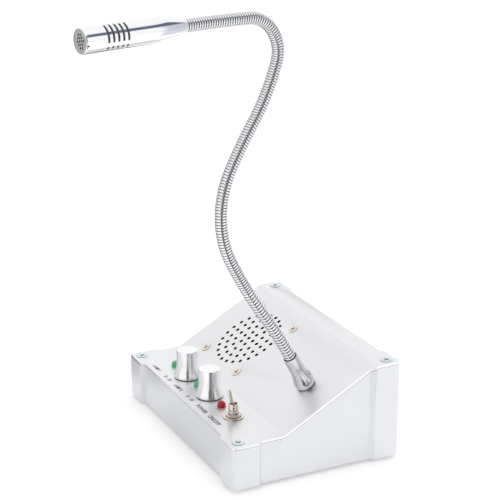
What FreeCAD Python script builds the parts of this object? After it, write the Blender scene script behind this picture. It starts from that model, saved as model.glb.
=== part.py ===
"""Counter intercom: a wedge-shaped desk unit with a loudspeaker, two volume knobs, lamps, a toggle
switch and a microphone on a flexible neck.

Millimetres, +Z up. The origin is on the counter, under the centre of the unit. The front, with the
knobs, faces -Y and the neck stands on the right, at +X.
"""
import FreeCAD, Part
import math
import os
import re

import Sketcher
from FreeCAD import Placement, Rotation, Vector

doc = FreeCAD.newDocument("counter_intercom")
sheet = doc.addObject("Spreadsheet::Sheet", "sizes")
X_AXIS, Y_AXIS, Z_AXIS = Vector(1, 0, 0), Vector(0, 1, 0), Vector(0, 0, 1)

# Driving dimensions
SIZES = {
    # housing
    "width": 150.0,
    "depth": 105.0,
    "front_height": 26.0,
    "rear_height": 57.8,
    "front_bend": 20.1,
    "rear_bend": 37.9,
    "wall": 3.0,
    "recess": 2.2,
    "return_run": 2.0,
    "post_width": 17.0,
    "post_depth": 16.0,
    "corner_radius": 2.0,
    "post_edge_radius": 0.9,
    # sheet metal
    "panel_thickness": 1.5,
    "bend_radius": 1.0,
    "base_thickness": 1.5,
    "base_lip": 1.5,
    "plate_gap": 0.2,
    # feet and screws of the enclosure
    "foot_height": 2.0,
    "foot_radius": 6.0,
    "foot_inset": 21.0,
    "panel_screw_radius": 2.0,
    "panel_screw_head": 3.55,
    "head_share": 0.92,
    "panel_screw_length": 12.0,
    "panel_screw_inset": 5.9,
    "base_screw_radius": 1.5,
    "base_screw_head": 2.8,
    "base_screw_length": 8.0,
    "base_screw_inset": 11.5,
    "screw_gap": 0.05,
    "overcut": 1.0,
    # loudspeaker on the slope
    "speaker_x": -30.4,
    "speaker_up": 32.8,
    "speaker_side": 52.0,
    "speaker_flange": 1.0,
    "speaker_ear": 4.0,
    "speaker_screw_spacing": 43.7,
    "speaker_screw_radius": 1.5,
    "speaker_screw_head": 3.05,
    "speaker_screw_length": 10.0,
    "cloth_thickness": 0.4,
    "grille_hole_radius": 1.2,
    "grille_pitch": 5.27,
    "grille_rings": 4,
    "basket_mouth": 23.0,
    "basket_throat": 14.5,
    "basket_depth": 11.0,
    "basket_wall": 0.8,
    "basket_edge": 0.5,
    "basket_window_low": 14.5,
    "basket_window_high": 21.0,
    "magnet_radius": 14.0,
    "magnet_bore": 8.5,
    "magnet_height": 6.5,
    "magnet_overhang": 1.0,
    "front_plate_height": 2.5,
    "yoke_height": 2.5,
    "pole_radius": 6.2,
    "coil_gap": 0.3,
    "coil_wall": 0.4,
    "coil_lift": 1.5,
    "coil_reach": 1.0,
    "cone_wall": 0.4,
    "cone_gap": 0.2,
    "dust_cap_rise": 2.0,
    "surround_edge": 2.1,
    "surround_width": 4.9,
    "surround_roll": 1.3,
    "surround_rise": 0.6,
    "surround_dip": 0.4,
    "nut_height": 2.4,
    "nut_flats": 5.5,
    # control row on the front flat
    "row_inset": 18.0,
    "left_knob_x": -26.6,
    "right_knob_x": 5.4,
    "left_lamp_x": -44.6,
    "middle_lamp_x": -11.0,
    "right_lamp_x": 21.8,
    "switch_x": 37.6,
    # knobs and the controls under them
    "knob_lift": 0.8,
    "knob_height": 16.6,
    "knob_top_radius": 6.45,
    "knob_foot_radius": 8.15,
    "knob_flare_height": 8.4,
    "knob_rim": 1.0,
    "knob_recess_radius": 6.6,
    "knob_recess_depth": 4.2,
    "knob_bore_depth": 12.5,
    "knob_edge": 0.35,
    "knob_screw_rise": 1.6,
    "shaft_radius": 3.0,
    "shaft_gap": 0.04,
    "shaft_end_gap": 0.3,
    "shaft_top_gap": 0.1,
    "running_gap": 0.06,
    "pot_radius": 8.2,
    "pot_height": 8.0,
    "pot_floor": 2.0,
    "pot_lug_pitch": 5.0,
    "pot_lug_back": 5.0,
    "pot_lug_width": 1.2,
    "pot_lug_thickness": 0.8,
    "pot_bushing_radius": 3.5,
    "pot_bushing_length": 6.0,
    "pot_nut_flats": 10.0,
    "pot_nut_height": 2.0,
    "pot_washer_radius": 6.0,
    "pot_washer_height": 0.5,
    "grub_radius": 1.5,
    "grub_sink": 0.4,
    # lamps
    "lamp_radius": 2.5,
    "lamp_flange": 2.9,
    "lamp_flange_height": 1.0,
    "lamp_shoulder": 0.9,
    "lamp_leg": 0.5,
    "lamp_leg_offset": 1.27,
    # toggle switch
    "bushing_radius": 2.95,
    "bushing_height": 8.2,
    "bushing_bore": 2.2,
    "pivot_depth": 3.2,
    "lever_length": 12.6,
    "lever_neck": 0.95,
    "lever_tip": 1.45,
    "lever_tip_run": 1.5,
    "lever_tail": 3.6,
    "lever_tilt": 12.5,
    "switch_nut_flats": 8.0,
    "switch_nut_height": 1.9,
    "switch_washer_radius": 6.0,
    "switch_washer_height": 0.6,
    "switch_case_width": 8.0,
    "switch_case_depth": 13.0,
    "switch_case_height": 8.0,
    "switch_frame": 0.6,
    "switch_pin_pitch": 4.0,
    "switch_pin_width": 1.0,
    "switch_pin_thickness": 0.8,
    # boards
    "board_thickness": 1.6,
    "control_board_drop": 11.0,
    "control_board_width": 104.0,
    "control_board_depth": 19.0,
    "spacer_height": 5.0,
    "spacer_radius": 3.0,
    "main_board_width": 88.0,
    "main_board_depth": 60.0,
    "main_board_side": 6.0,
    "main_board_back": 2.3,
    "spacer_inset": 4.0,
    "chip_width": 20.0,
    "chip_depth": 8.0,
    "chip_height": 3.2,
    "chip_right": 18.0,
    "chip_front": 18.0,
    "fin_count": 5,
    "fin_pitch": 4.8,
    "fin_thickness": 1.4,
    "fin_base": 2.0,
    "fin_height": 8.0,
    "fin_length": 12.0,
    "can_count": 3,
    "can_radius": 4.0,
    "can_height": 11.6,
    "can_edge": 0.6,
    "can_right": 36.0,
    "can_front": 20.0,
    "can_pitch": 12.0,
    # sockets in the rear wall
    "power_socket_x": -40.0,
    "line_socket_x": -22.0,
    "door_socket_x": -6.0,
    "power_barrel_radius": 4.4,
    "power_bore_radius": 3.15,
    "power_pin_radius": 1.0,
    "power_bore_reach": 6.5,
    "power_body_length": 14.0,
    "jack_bushing_radius": 3.0,
    "jack_bushing_length": 2.2,
    "jack_bore_radius": 1.8,
    "jack_bore_depth": 14.0,
    "jack_nut_radius": 4.0,
    "jack_nut_height": 1.8,
    "jack_body_length": 12.0,
    "socket_body_height": 10.0,
    "socket_body_width": 9.0,
    # neck collar
    "neck_inset": 28.8,
    "neck_up": 31.4,
    "collar_height": 21.6,
    "collar_top_radius": 4.25,
    "collar_mouth_radius": 3.95,
    "collar_mouth_depth": 1.0,
    "collar_waist_radius": 4.4,
    "collar_belly_radius": 6.1,
    "collar_foot_radius": 5.3,
    "collar_belly_height": 3.4,
    "collar_waist_height": 14.0,
    "collar_bore_depth": 17.0,
    "collar_screw_height": 7.0,
    "collar_screw_angle": 62.0,
    "stud_radius": 4.9,
    "stud_length": 8.0,
    "stud_bore": 2.0,
    "collar_nut_flats": 14.0,
    "collar_nut_height": 3.0,
    # flexible neck
    "neck_radius": 3.5,
    "neck_root": 2.95,
    "neck_plain": 3.35,
    "neck_bore": 1.9,
    "rib_pitch": 2.5,
    "rib_slope": 0.3,
    "rib_lead": 0.25,
    "joint_gap": 0.95,
    "seat_gap": 0.05,
    "neck_lead": 0.2,
    # route of the neck: a straight start, then arcs, each with its turn towards the front, all in
    # one plane that is swung to the right about the axis of the collar
    "neck_swing": 12.3,
    "neck_straight": 28.5,
    "neck_arc_1": 24.4,
    "neck_turn_1": 6.1,
    "neck_arc_2": 41.1,
    "neck_turn_2": -9.0,
    "neck_arc_3": 27.1,
    "neck_turn_3": -31.1,
    "neck_arc_4": 24.6,
    "neck_turn_4": -26.6,
    "neck_arc_5": 28.5,
    "neck_turn_5": -6.7,
    "neck_arc_6": 36.5,
    "neck_turn_6": 16.4,
    "neck_arc_7": 35.3,
    "neck_turn_7": 111.3,
    "neck_arc_8": 42.1,
    "neck_turn_8": 2.4,
    # microphone
    "mic_length": 61.9,
    "mic_radius": 6.65,
    "mic_tail_radius": 4.1,
    "mic_taper": 19.8,
    "mic_bore": 5.6,
    "mic_cap_radius": 6.1,
    "mic_cap_thickness": 1.0,
    "mic_cap_skirt": 4.5,
    "mic_cap_wall": 0.6,
    "mic_cap_sink": 0.2,
    "mic_rim": 0.4,
    "mic_rim_length": 1.2,
    "mic_tail_bore": 8.0,
    "mic_screw_radius": 0.55,
    "mic_screw_back": 1.0,
    "mic_screw_angle": -20.0,
    "mic_slot_first": 13.3,
    "mic_slot_pitch": 2.9,
    "mic_slot_width": 1.6,
    "mic_slot_rows": 5,
    "mic_slots_round": 3,
    "mic_slot_angle": 107.0,
    "mic_slot_start": -44.0,
    "mic_hole_radius": 0.6,
    "mic_hole_pitch": 1.9,
    "mic_hole_turn": 6.5,
    "mic_middle_row": 4,
    "capsule_radius": 4.85,
    "capsule_height": 6.7,
    "capsule_gap": 0.2,
    "holder_floor": 0.6,
    "sleeve_wall": 0.6,
    "sleeve_gap": 0.1,
}
NECK_ARCS = range(1, 9)

for line, (alias, amount) in enumerate(SIZES.items(), start=1):
    sheet.set(f"A{line}", alias)
    sheet.set(f"B{line}", str(amount))
    sheet.setAlias(f"B{line}", alias)
doc.recompute()

# Derived places, as expressions over the sheet
SLOPE = "atan((rear_height - front_height) / (front_bend + rear_bend))"
FRONT_TOP = "(foot_height + front_height)"
REAR_TOP = "(foot_height + rear_height)"
UNDER_PANEL = f"({FRONT_TOP} - panel_thickness)"
BEND_SHIFT = f"(panel_thickness * tan({SLOPE} / 2))"
FLOOR_TOP = "(foot_height + base_thickness)"
HALF_X = "(width / 2)"
HALF_Y = "(depth / 2)"
INNER_X = "(width / 2 - recess - wall)"
INNER_Y = "(depth / 2 - recess - wall)"
POST_X = "(width / 2 - post_width)"
POST_Y = "(depth / 2 - post_depth)"
CONTROL_TOP = f"({UNDER_PANEL} - control_board_drop)"
MAIN_TOP = f"({FLOOR_TOP} + spacer_height + board_thickness)"
MAIN_X = f"(main_board_side + main_board_width / 2 - {POST_X})"
MAIN_Y = f"({INNER_Y} - main_board_back - main_board_depth / 2)"
SOCKET_AXIS = f"({MAIN_TOP} + socket_body_height / 2)"
ROW = "(row_inset - depth / 2)"
NECK_X = "(width / 2 - neck_inset)"
KNOB_BASE = f"({FRONT_TOP} + knob_lift)"
PIVOT = f"({FRONT_TOP} + bushing_height - pivot_depth)"
SPEAKER_BACK = "(panel_thickness + cloth_thickness)"


def bound(expression):
    """The expression with each size named as a cell of the sheet."""
    return re.sub(r"[a-z]\w*", lambda m: f"sizes.{m[0]}" if m[0] in SIZES else m[0], str(expression))


def number(expression):
    """The present value of an expression."""
    result = sheet.evalExpression(bound(expression))
    return float(getattr(result, "Value", result))


def bind(item, prop, expression):
    """Ties a property of an object to the sheet."""
    item.setExpression(prop, bound(expression))


# Sketch helpers

def pin(sketch, index, end, x, y):
    """Holds one end of a sketch line or arc at a point given by two expressions."""
    for kind, expression in (("DistanceX", x), ("DistanceY", y)):
        rule = Sketcher.Constraint(kind, -1, 1, index, end, number(expression))
        bind(sketch, f"Constraints[{sketch.addConstraint(rule)}]", expression)


def draw_circle(sketch, x, y, radius):
    """A circle with its centre and radius given by expressions."""
    centre = Vector(number(x), number(y), 0)
    index = sketch.addGeometry(Part.Circle(centre, Vector(0, 0, 1), number(radius)), False)
    pin(sketch, index, 3, x, y)
    rule = sketch.addConstraint(Sketcher.Constraint("Radius", index, number(radius)))
    bind(sketch, f"Constraints[{rule}]", radius)


def arc_middle(start, end, radius):
    """The middle point of the short arc between two points; a negative radius bends the other way."""
    chord = end - start
    half = chord.Length / 2
    sagitta = abs(radius) - math.sqrt(radius * radius - half * half)
    side = Vector(chord.y, -chord.x, 0).normalize()
    return (start + end) * 0.5 + side * math.copysign(sagitta, radius)


def draw_outline(sketch, points):
    """A closed outline through pairs of expressions. A third entry is the radius of the arc that
    leads to the next point, bulging to the right of the run when positive."""
    first = sketch.GeometryCount
    places = [Vector(number(point[0]), number(point[1]), 0) for point in points]
    ends = []
    for i, point in enumerate(points):
        start = places[i]
        end = places[(i + 1) % len(points)]
        if len(point) == 3:
            edge = Part.Arc(start, arc_middle(start, end, number(point[2])), end)
        else:
            edge = Part.LineSegment(start, end)
        index = sketch.addGeometry(edge, False)
        forward = sketch.getPoint(index, 1).distanceToPoint(start) < 1e-6
        ends.append((1, 2) if forward else (2, 1))
    for i in range(len(points)):
        after = (i + 1) % len(points)
        rule = Sketcher.Constraint("Coincident", first + i, ends[i][1], first + after, ends[after][0])
        sketch.addConstraint(rule)
    for i, point in enumerate(points):
        pin(sketch, first + i, ends[i][0], point[0], point[1])
        if len(point) == 3:
            radius = f"abs({point[2]})"
            rule = Sketcher.Constraint("Radius", first + i, number(radius))
            bind(sketch, f"Constraints[{sketch.addConstraint(rule)}]", radius)


def box_points(x, y, half_x, half_y):
    """The corners of a rectangle about a centre, as expressions."""
    signs = ((-1, -1), (1, -1), (1, 1), (-1, 1))
    return [(f"{x} + {i} * {half_x}", f"{y} + {j} * {half_y}") for i, j in signs]


def hexagon_points(x, y, flats, turn=0):
    """The corners of a hexagon of a given width across flats, as expressions."""
    angles = range(turn, turn + 360, 60)
    reach = f"{flats} / sqrt(3)"
    return [(f"{x} + {reach} * cos({a})", f"{y} + {reach} * sin({a})") for a in angles]


def mirrored(points):
    """The whole outline, in running order, from its front right quarter."""
    rear_right = [(x, f"-({y})") for x, y in reversed(points)]
    rear_left = [(f"-({x})", f"-({y})") for x, y in points]
    front_left = [(f"-({x})", y) for x, y in reversed(points)]
    return list(points) + rear_right + rear_left + front_left


# Feature helpers

def new_body(label):
    """A body whose label names its sub-part."""
    owner = doc.addObject("PartDesign::Body", label)
    owner.Label = label
    return owner


def new_sketch(owner, role, lift="0", tilt=None, across="0", up="0"):
    """A sketch on one of the body's own planes, lifted along its normal, or tilted about X."""
    plane = next(item for item in owner.Origin.OriginFeatures if item.Role == role)
    sketch = owner.newObject("Sketcher::SketchObject", f"{owner.Name}_sketch")
    sketch.AttachmentSupport = [(plane, "")]
    sketch.MapMode = "FlatFace"
    if tilt is not None:
        sketch.AttachmentOffset = Placement(Vector(), Rotation(X_AXIS, number(tilt)))
        bind(sketch, "AttachmentOffset.Rotation.Angle", tilt)
    bind(sketch, "AttachmentOffset.Base.x", across)
    bind(sketch, "AttachmentOffset.Base.y", up)
    bind(sketch, "AttachmentOffset.Base.z", lift)
    return sketch


def pad(owner, sketch, length, both=False, down=False):
    """Raises a sketch into a solid."""
    item = owner.newObject("PartDesign::Pad", f"{owner.Name}_pad")
    item.Profile = sketch
    bind(item, "Length", length)
    if both:
        item.SideType = "Symmetric"
    item.Reversed = down
    doc.recompute()
    return item


def pocket(owner, sketch, length=None, both=False, up=False):
    """Cuts a sketch out of the body, to a depth or right through, and checks that it cuts."""
    before = owner.Shape.Volume
    item = owner.newObject("PartDesign::Pocket", f"{owner.Name}_pocket")
    item.Profile = sketch
    if length is None:
        item.Type = "ThroughAll"
    else:
        bind(item, "Length", length)
    if both:
        item.SideType = "Symmetric"
    item.Reversed = up
    doc.recompute()
    if not item.Shape.Volume < before - 1e-6:
        raise ValueError(f"{owner.Label}: a pocket cuts nothing")
    return item


def revolve(owner, sketch):
    """Turns a sketch about its vertical axis."""
    item = owner.newObject("PartDesign::Revolution", f"{owner.Name}_turning")
    item.Profile = sketch
    item.ReferenceAxis = (sketch, ["V_Axis"])
    item.Angle = 360
    doc.recompute()
    return item


def ring_of(owner, feature, sketch, count):
    """Repeats a feature about the normal of its sketch."""
    item = owner.newObject("PartDesign::PolarPattern", f"{owner.Name}_ring")
    item.Originals = [feature]
    item.Axis = (sketch, ["N_Axis"])
    item.Angle = 360
    item.Occurrences = count
    owner.Tip = item
    doc.recompute()
    return item


def fillet(owner, radius, wanted):
    """Rounds the edges of the body that a test picks."""
    base = owner.Tip
    names = [f"Edge{i}" for i, edge in enumerate(base.Shape.Edges, start=1) if wanted(edge)]
    if not names:
        raise ValueError(f"{owner.Label}: no edge to round")
    item = owner.newObject("PartDesign::Fillet", f"{owner.Name}_fillet")
    item.Base = (base, names)
    bind(item, "Radius", radius)
    doc.recompute()
    return item


def turned(label, points):
    """A turned piece from its half section, given as radius and height."""
    owner = new_body(label)
    sketch = new_sketch(owner, "XZ_Plane")
    draw_outline(sketch, points)
    revolve(owner, sketch)
    return owner


def place(item, x, y, z):
    """Sets an upright piece at a point given by expressions."""
    bind(item, "Placement.Base.x", x)
    bind(item, "Placement.Base.y", y)
    bind(item, "Placement.Base.z", z)
    return item


def place_on_slope(item, x, up, lift="0"):
    """Sets a piece on the sloping panel: across, up the slope from the front bend, and off it."""
    item.Placement = Placement(Vector(), Rotation(X_AXIS, number(SLOPE)))
    bind(item, "Placement.Rotation.Angle", SLOPE)
    y = f"{up} * cos({SLOPE}) - ({lift}) * sin({SLOPE}) - front_bend"
    z = f"{FRONT_TOP} + {up} * sin({SLOPE}) + ({lift}) * cos({SLOPE})"
    return place(item, x, y, z)


def copies(label, master, places, put=place):
    """One node of several copies of a piece, each at its own place."""
    links = []
    for i, spot in enumerate(places, start=1):
        link = doc.addObject("App::Link", f"{label}_{i}")
        link.LinkedObject = master
        link.LinkTransform = True
        put(link, *spot)
        links.append(link)
    group = doc.addObject("Part::Compound", label)
    group.Label = label
    group.Links = links
    return group


def four_corners(half_x, half_y):
    """Expressions of four places, mirrored about both axes."""
    return [(f"{i} * ({half_x})", f"{j} * ({half_y})") for i in (-1, 1) for j in (-1, 1)]


# Enclosure

def notched_outline(inset="0"):
    """The plan of the unit: corner posts at full width, with the wall panels set back between them."""
    x, y = f"({HALF_X} - {inset})", f"({HALF_Y} - {inset})"
    return mirrored([
        (f"{POST_X} - return_run", f"recess - {y}"),
        (POST_X, f"-{y}"),
        (x, f"-{y}"),
        (x, f"-{POST_Y}"),
        (f"{x} - recess", f"return_run - {POST_Y}"),
    ])


def inner_plan():
    """The plan of the hollow, which leaves a solid block at each corner."""
    return mirrored([
        (POST_X, f"-{INNER_Y}"),
        (POST_X, f"-{POST_Y}"),
        (INNER_X, f"-{POST_Y}"),
    ])


def near(a, b):
    """Whether two lengths are the same."""
    return abs(a - b) < 1e-4


def is_outer_corner(edge):
    """Picks the four upright edges at the corners of the unit."""
    a, b = edge.Vertexes[0].Point, edge.Vertexes[-1].Point
    upright = near(a.x, b.x) and near(a.y, b.y)
    return upright and near(abs(a.x), number(HALF_X)) and near(abs(a.y), number(HALF_Y))


def is_post_edge(edge):
    """Picks the upright edges where a corner post turns in to a wall panel."""
    a, b = edge.Vertexes[0].Point, edge.Vertexes[-1].Point
    if not (near(a.x, b.x) and near(a.y, b.y)):
        return False
    on_front = near(abs(a.x), number(POST_X)) and near(abs(a.y), number(HALF_Y))
    on_side = near(abs(a.x), number(HALF_X)) and near(abs(a.y), number(POST_Y))
    return on_front or on_side


def is_bend(y, z):
    """A test that picks edges along X at one bend of the profile."""
    def wanted(edge):
        a, b = edge.Vertexes[0].Point, edge.Vertexes[-1].Point
        along = near(a.y, b.y) and near(a.z, b.z) and not near(a.x, b.x)
        return along and near(a.y, y) and near(a.z, z)
    return wanted


def round_bends(owner, front_z, rear_z, shift, front_radius, rear_radius):
    """Rounds the two bends of the profile at one face of the sheet."""
    front_y = number(f"{shift} - front_bend")
    rear_y = number(f"{shift} + rear_bend")
    fillet(owner, front_radius, is_bend(front_y, number(front_z)))
    fillet(owner, rear_radius, is_bend(rear_y, number(rear_z)))


def profile_sketch(owner, top, shift, low, high):
    """A side profile that follows the panel at one face and closes at a given height."""
    sketch = new_sketch(owner, "YZ_Plane")
    reach = f"({HALF_Y} + wall)"
    draw_outline(sketch, [
        (f"-{reach}", f"{FRONT_TOP} - {top}"),
        (f"{shift} - front_bend", f"{FRONT_TOP} - {top}"),
        (f"{shift} + rear_bend", f"{REAR_TOP} - {top}"),
        (reach, f"{REAR_TOP} - {top}"),
        (reach, high),
        (f"-{reach}", high),
    ])
    return sketch


def make_housing():
    """The four walls and corner posts, cast in one, cut at the top to the line of the panel."""
    owner = new_body("housing")
    outline = new_sketch(owner, "XY_Plane", lift="foot_height")
    draw_outline(outline, notched_outline())
    pad(owner, outline, "rear_height")
    hollow = new_sketch(owner, "XY_Plane", lift="foot_height")
    draw_outline(hollow, inner_plan())
    pocket(owner, hollow, both=True)
    above = profile_sketch(owner, "panel_thickness", BEND_SHIFT, "0", f"{REAR_TOP} + wall")
    pocket(owner, above, both=True)
    outer_radius = "bend_radius + panel_thickness"
    rear_under = f"{REAR_TOP} - panel_thickness"
    round_bends(owner, UNDER_PANEL, rear_under, BEND_SHIFT, outer_radius, "bend_radius")
    step = new_sketch(owner, "XY_Plane", lift="foot_height")
    half_x = f"({HALF_X} - recess - base_lip)"
    half_y = f"({HALF_Y} - recess - base_lip)"
    draw_outline(step, box_points("0", "0", half_x, half_y))
    pocket(owner, step, "base_thickness", up=True)
    cut_screw_holes(owner)
    cut_socket_holes(owner)
    fillet(owner, "corner_radius", is_outer_corner)
    fillet(owner, "post_edge_radius", is_post_edge)
    return owner


def panel_screw_places():
    """Plan positions of the screws through the panel, one to a corner post."""
    return four_corners(f"{HALF_X} - panel_screw_inset", f"{HALF_Y} - panel_screw_inset")


def base_screw_places():
    """Plan positions of the screws through the base plate, one to a corner post."""
    return four_corners(f"{HALF_X} - base_screw_inset", f"{HALF_Y} - base_screw_inset")


def cut_screw_holes(owner):
    """Holes down into the posts from the panel and up into them from the base plate."""
    for top, sign in ((UNDER_PANEL, -1), (f"{REAR_TOP} - panel_thickness", 1)):
        holes = new_sketch(owner, "XY_Plane", lift=top)
        for x, y in panel_screw_places():
            if number(y) * sign > 0:
                draw_circle(holes, x, y, "panel_screw_radius + screw_gap")
        pocket(owner, holes, "panel_screw_length")
    holes = new_sketch(owner, "XY_Plane", lift=FLOOR_TOP)
    for x, y in base_screw_places():
        draw_circle(holes, x, y, "base_screw_radius + screw_gap")
    pocket(owner, holes, "base_screw_length", up=True)


def cut_socket_holes(owner):
    """The holes for the sockets through the rear wall."""
    holes = new_sketch(owner, "XZ_Plane", lift=f"-{HALF_Y}")
    draw_circle(holes, "power_socket_x", SOCKET_AXIS, "power_barrel_radius + plate_gap")
    for x in ("line_socket_x", "door_socket_x"):
        draw_circle(holes, x, SOCKET_AXIS, "jack_bushing_radius + plate_gap")
    pocket(owner, holes, "recess + wall + wall", up=True)


def make_top_panel():
    """One bent aluminium sheet over the front flat, the slope and the rear flat."""
    owner = new_body("top_panel")
    sheet_profile = new_sketch(owner, "YZ_Plane")
    rear_under = f"{REAR_TOP} - panel_thickness"
    draw_outline(sheet_profile, [
        (f"-{HALF_Y}", UNDER_PANEL),
        (f"{BEND_SHIFT} - front_bend", UNDER_PANEL),
        (f"{BEND_SHIFT} + rear_bend", rear_under),
        (HALF_Y, rear_under),
        (HALF_Y, REAR_TOP),
        ("rear_bend", REAR_TOP),
        ("-front_bend", FRONT_TOP),
        (f"-{HALF_Y}", FRONT_TOP),
    ])
    pad(owner, sheet_profile, "width", both=True)
    outer_radius = "bend_radius + panel_thickness"
    round_bends(owner, UNDER_PANEL, rear_under, BEND_SHIFT, outer_radius, "bend_radius")
    round_bends(owner, FRONT_TOP, REAR_TOP, "0", "bend_radius", outer_radius)
    trim = new_sketch(owner, "XY_Plane", lift=REAR_TOP)
    draw_outline(trim, box_points("0", "0", f"({HALF_X} + wall)", f"({HALF_Y} + wall)"))
    draw_outline(trim, notched_outline())
    pocket(owner, trim, both=True)
    cut_panel_screws(owner)
    cut_control_holes(owner)
    cut_slope_holes(owner)
    fillet(owner, "corner_radius", is_outer_corner)
    fillet(owner, "post_edge_radius", is_post_edge)
    return owner


def cut_panel_screws(owner):
    """Countersunk holes at the four corners."""
    for top, sign in ((FRONT_TOP, -1), (REAR_TOP, 1)):
        for x, y in panel_screw_places():
            if number(y) * sign < 0:
                continue
            countersink(owner, x, y, top)


def countersink(owner, x, y, top):
    """A countersunk hole turned out of the panel about an upright line."""
    section = new_sketch(owner, "XZ_Plane", lift=f"-({y})", across=x)
    draw_outline(section, [
        ("0", top),
        ("panel_screw_head + screw_gap", top),
        ("panel_screw_radius + screw_gap", f"{top} - panel_thickness * head_share"),
        ("panel_screw_radius + screw_gap", f"{top} - panel_thickness"),
        ("0", f"{top} - panel_thickness"),
    ])
    groove(owner, section)


def cone_pocket(owner, sketch, radius, head, depth, up=False):
    """Cuts the cone under a countersunk head."""
    cone = pocket(owner, sketch, depth, up=up)
    bind(cone, "TaperAngle", f"-atan(({head} - {radius}) / ({depth}))")
    doc.recompute()
    return cone


def groove(owner, sketch, angle=360):
    """Turns a sketch about its vertical axis and cuts it out."""
    before = owner.Shape.Volume
    item = owner.newObject("PartDesign::Groove", f"{owner.Name}_groove")
    item.Profile = sketch
    item.ReferenceAxis = (sketch, ["V_Axis"])
    item.Angle = angle
    doc.recompute()
    if not item.Shape.Volume < before - 1e-6:
        raise ValueError(f"{owner.Label}: a groove cuts nothing")
    return item


def cut_control_holes(owner):
    """The row of holes in the front flat: lamps, volume controls and switch."""
    holes = new_sketch(owner, "XY_Plane", lift=FRONT_TOP)
    for x in ("left_lamp_x", "middle_lamp_x", "right_lamp_x"):
        draw_circle(holes, x, ROW, "lamp_radius + plate_gap / 2")
    for x in ("left_knob_x", "right_knob_x"):
        draw_circle(holes, x, ROW, "pot_bushing_radius + plate_gap / 2")
    draw_circle(holes, "switch_x", ROW, "bushing_radius + plate_gap / 2")
    pocket(owner, holes, "panel_thickness + wall")


def slope_sketch(owner, x, up):
    """A sketch on the face of the slope, with its origin across and up it."""
    sketch = new_sketch(owner, "XY_Plane", tilt=SLOPE, across=x)
    bind(sketch, "AttachmentOffset.Base.y", f"{up} * cos({SLOPE}) - front_bend")
    bind(sketch, "AttachmentOffset.Base.z", f"{FRONT_TOP} + {up} * sin({SLOPE})")
    return sketch


def cut_slope_holes(owner):
    """The loudspeaker grille with its four screws, and the hole for the stud of the neck."""
    depth = "panel_thickness + wall"
    centre = slope_sketch(owner, "speaker_x", "speaker_up")
    draw_circle(centre, "0", "0", "grille_hole_radius")
    pocket(owner, centre, depth)
    for ring in range(1, int(number("grille_rings")) + 1):
        first = slope_sketch(owner, "speaker_x", "speaker_up")
        draw_circle(first, f"grille_pitch * {ring}", "0", "grille_hole_radius")
        hole = pocket(owner, first, depth)
        ring_of(owner, hole, first, 6 * ring)
    half = "speaker_screw_spacing / 2"
    mounting = slope_sketch(owner, "speaker_x", "speaker_up")
    for x, y in four_corners(half, half):
        draw_circle(mounting, x, y, "speaker_screw_head + screw_gap")
    sink_depth = "panel_thickness * head_share"
    cone_pocket(owner, mounting, "speaker_screw_radius", "speaker_screw_head", sink_depth)
    through = slope_sketch(owner, "speaker_x", "speaker_up")
    for x, y in four_corners(half, half):
        draw_circle(through, x, y, "speaker_screw_radius + screw_gap")
    pocket(owner, through, depth)
    stud = slope_sketch(owner, NECK_X, "neck_up")
    draw_circle(stud, "0", "0", "stud_radius + plate_gap / 2")
    pocket(owner, stud, depth)


def make_base_plate():
    """The steel plate that closes the underside, let into the step of the walls."""
    owner = new_body("base_plate")
    outline = new_sketch(owner, "XY_Plane", lift="foot_height")
    half_x = f"({HALF_X} - recess - base_lip - plate_gap)"
    half_y = f"({HALF_Y} - recess - base_lip - plate_gap)"
    draw_outline(outline, box_points("0", "0", half_x, half_y))
    pad(owner, outline, "base_thickness")
    sink = new_sketch(owner, "XY_Plane", lift="foot_height")
    for x, y in base_screw_places():
        draw_circle(sink, x, y, "base_screw_head + screw_gap")
    sink_depth = "base_thickness * head_share"
    cone_pocket(owner, sink, "base_screw_radius", "base_screw_head", sink_depth, up=True)
    through = new_sketch(owner, "XY_Plane", lift="foot_height")
    for x, y in base_screw_places():
        draw_circle(through, x, y, "base_screw_radius + screw_gap")
    pocket(owner, through, "base_thickness + wall", up=True)
    return owner


def countersunk_screw(label, radius, head, length, sink):
    """A countersunk screw with its head at the origin, pointing down."""
    return turned(label, [
        ("0", "0"),
        (head, "0"),
        (radius, f"-{sink}"),
        (radius, f"{radius} / 3 - {length}"),
        (f"{radius} * 2 / 3", f"-{length}"),
        ("0", f"-{length}"),
    ])


def make_enclosure_fixings():
    """Rubber feet, and the screws that hold the panel and the base plate."""
    foot = turned("foot", [
        ("0", "0"),
        ("foot_radius - foot_height / 4", "0"),
        ("foot_radius", "foot_height / 4"),
        ("foot_radius", "foot_height"),
        ("0", "foot_height"),
    ])
    inset_x, inset_y = f"{HALF_X} - foot_inset", f"{HALF_Y} - foot_inset"
    feet = copies("rubber_feet", foot, [(x, y, "0") for x, y in four_corners(inset_x, inset_y)])
    panel_screw = countersunk_screw(
        "panel_screw", "panel_screw_radius", "panel_screw_head", "panel_screw_length",
        "(panel_thickness * head_share)")
    spots = []
    for x, y in panel_screw_places():
        spots.append((x, y, FRONT_TOP if number(y) < 0 else REAR_TOP))
    panel_screws = copies("panel_screws", panel_screw, spots)
    base_screw = countersunk_screw(
        "base_screw", "base_screw_radius", "base_screw_head", "base_screw_length",
        "(base_thickness * head_share)")
    base_screws = copies("base_screws", base_screw, base_screw_places(), put=place_upside_down)
    return [feet, panel_screws, base_screws]


def place_upside_down(item, x, y):
    """Sets a screw pointing up from the underside."""
    item.Placement = Placement(Vector(), Rotation(X_AXIS, 180))
    return place(item, x, y, "foot_height")


# Loudspeaker, with its flange under the slope

def screw_circles(owner, depth, radius):
    """A sketch below the cover with a circle about each of the loudspeaker's four screws."""
    circles = new_sketch(owner, "XY_Plane", lift=f"-{depth}")
    for x, y in four_corners("speaker_screw_spacing / 2", "speaker_screw_spacing / 2"):
        draw_circle(circles, x, y, radius)
    return circles


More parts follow.
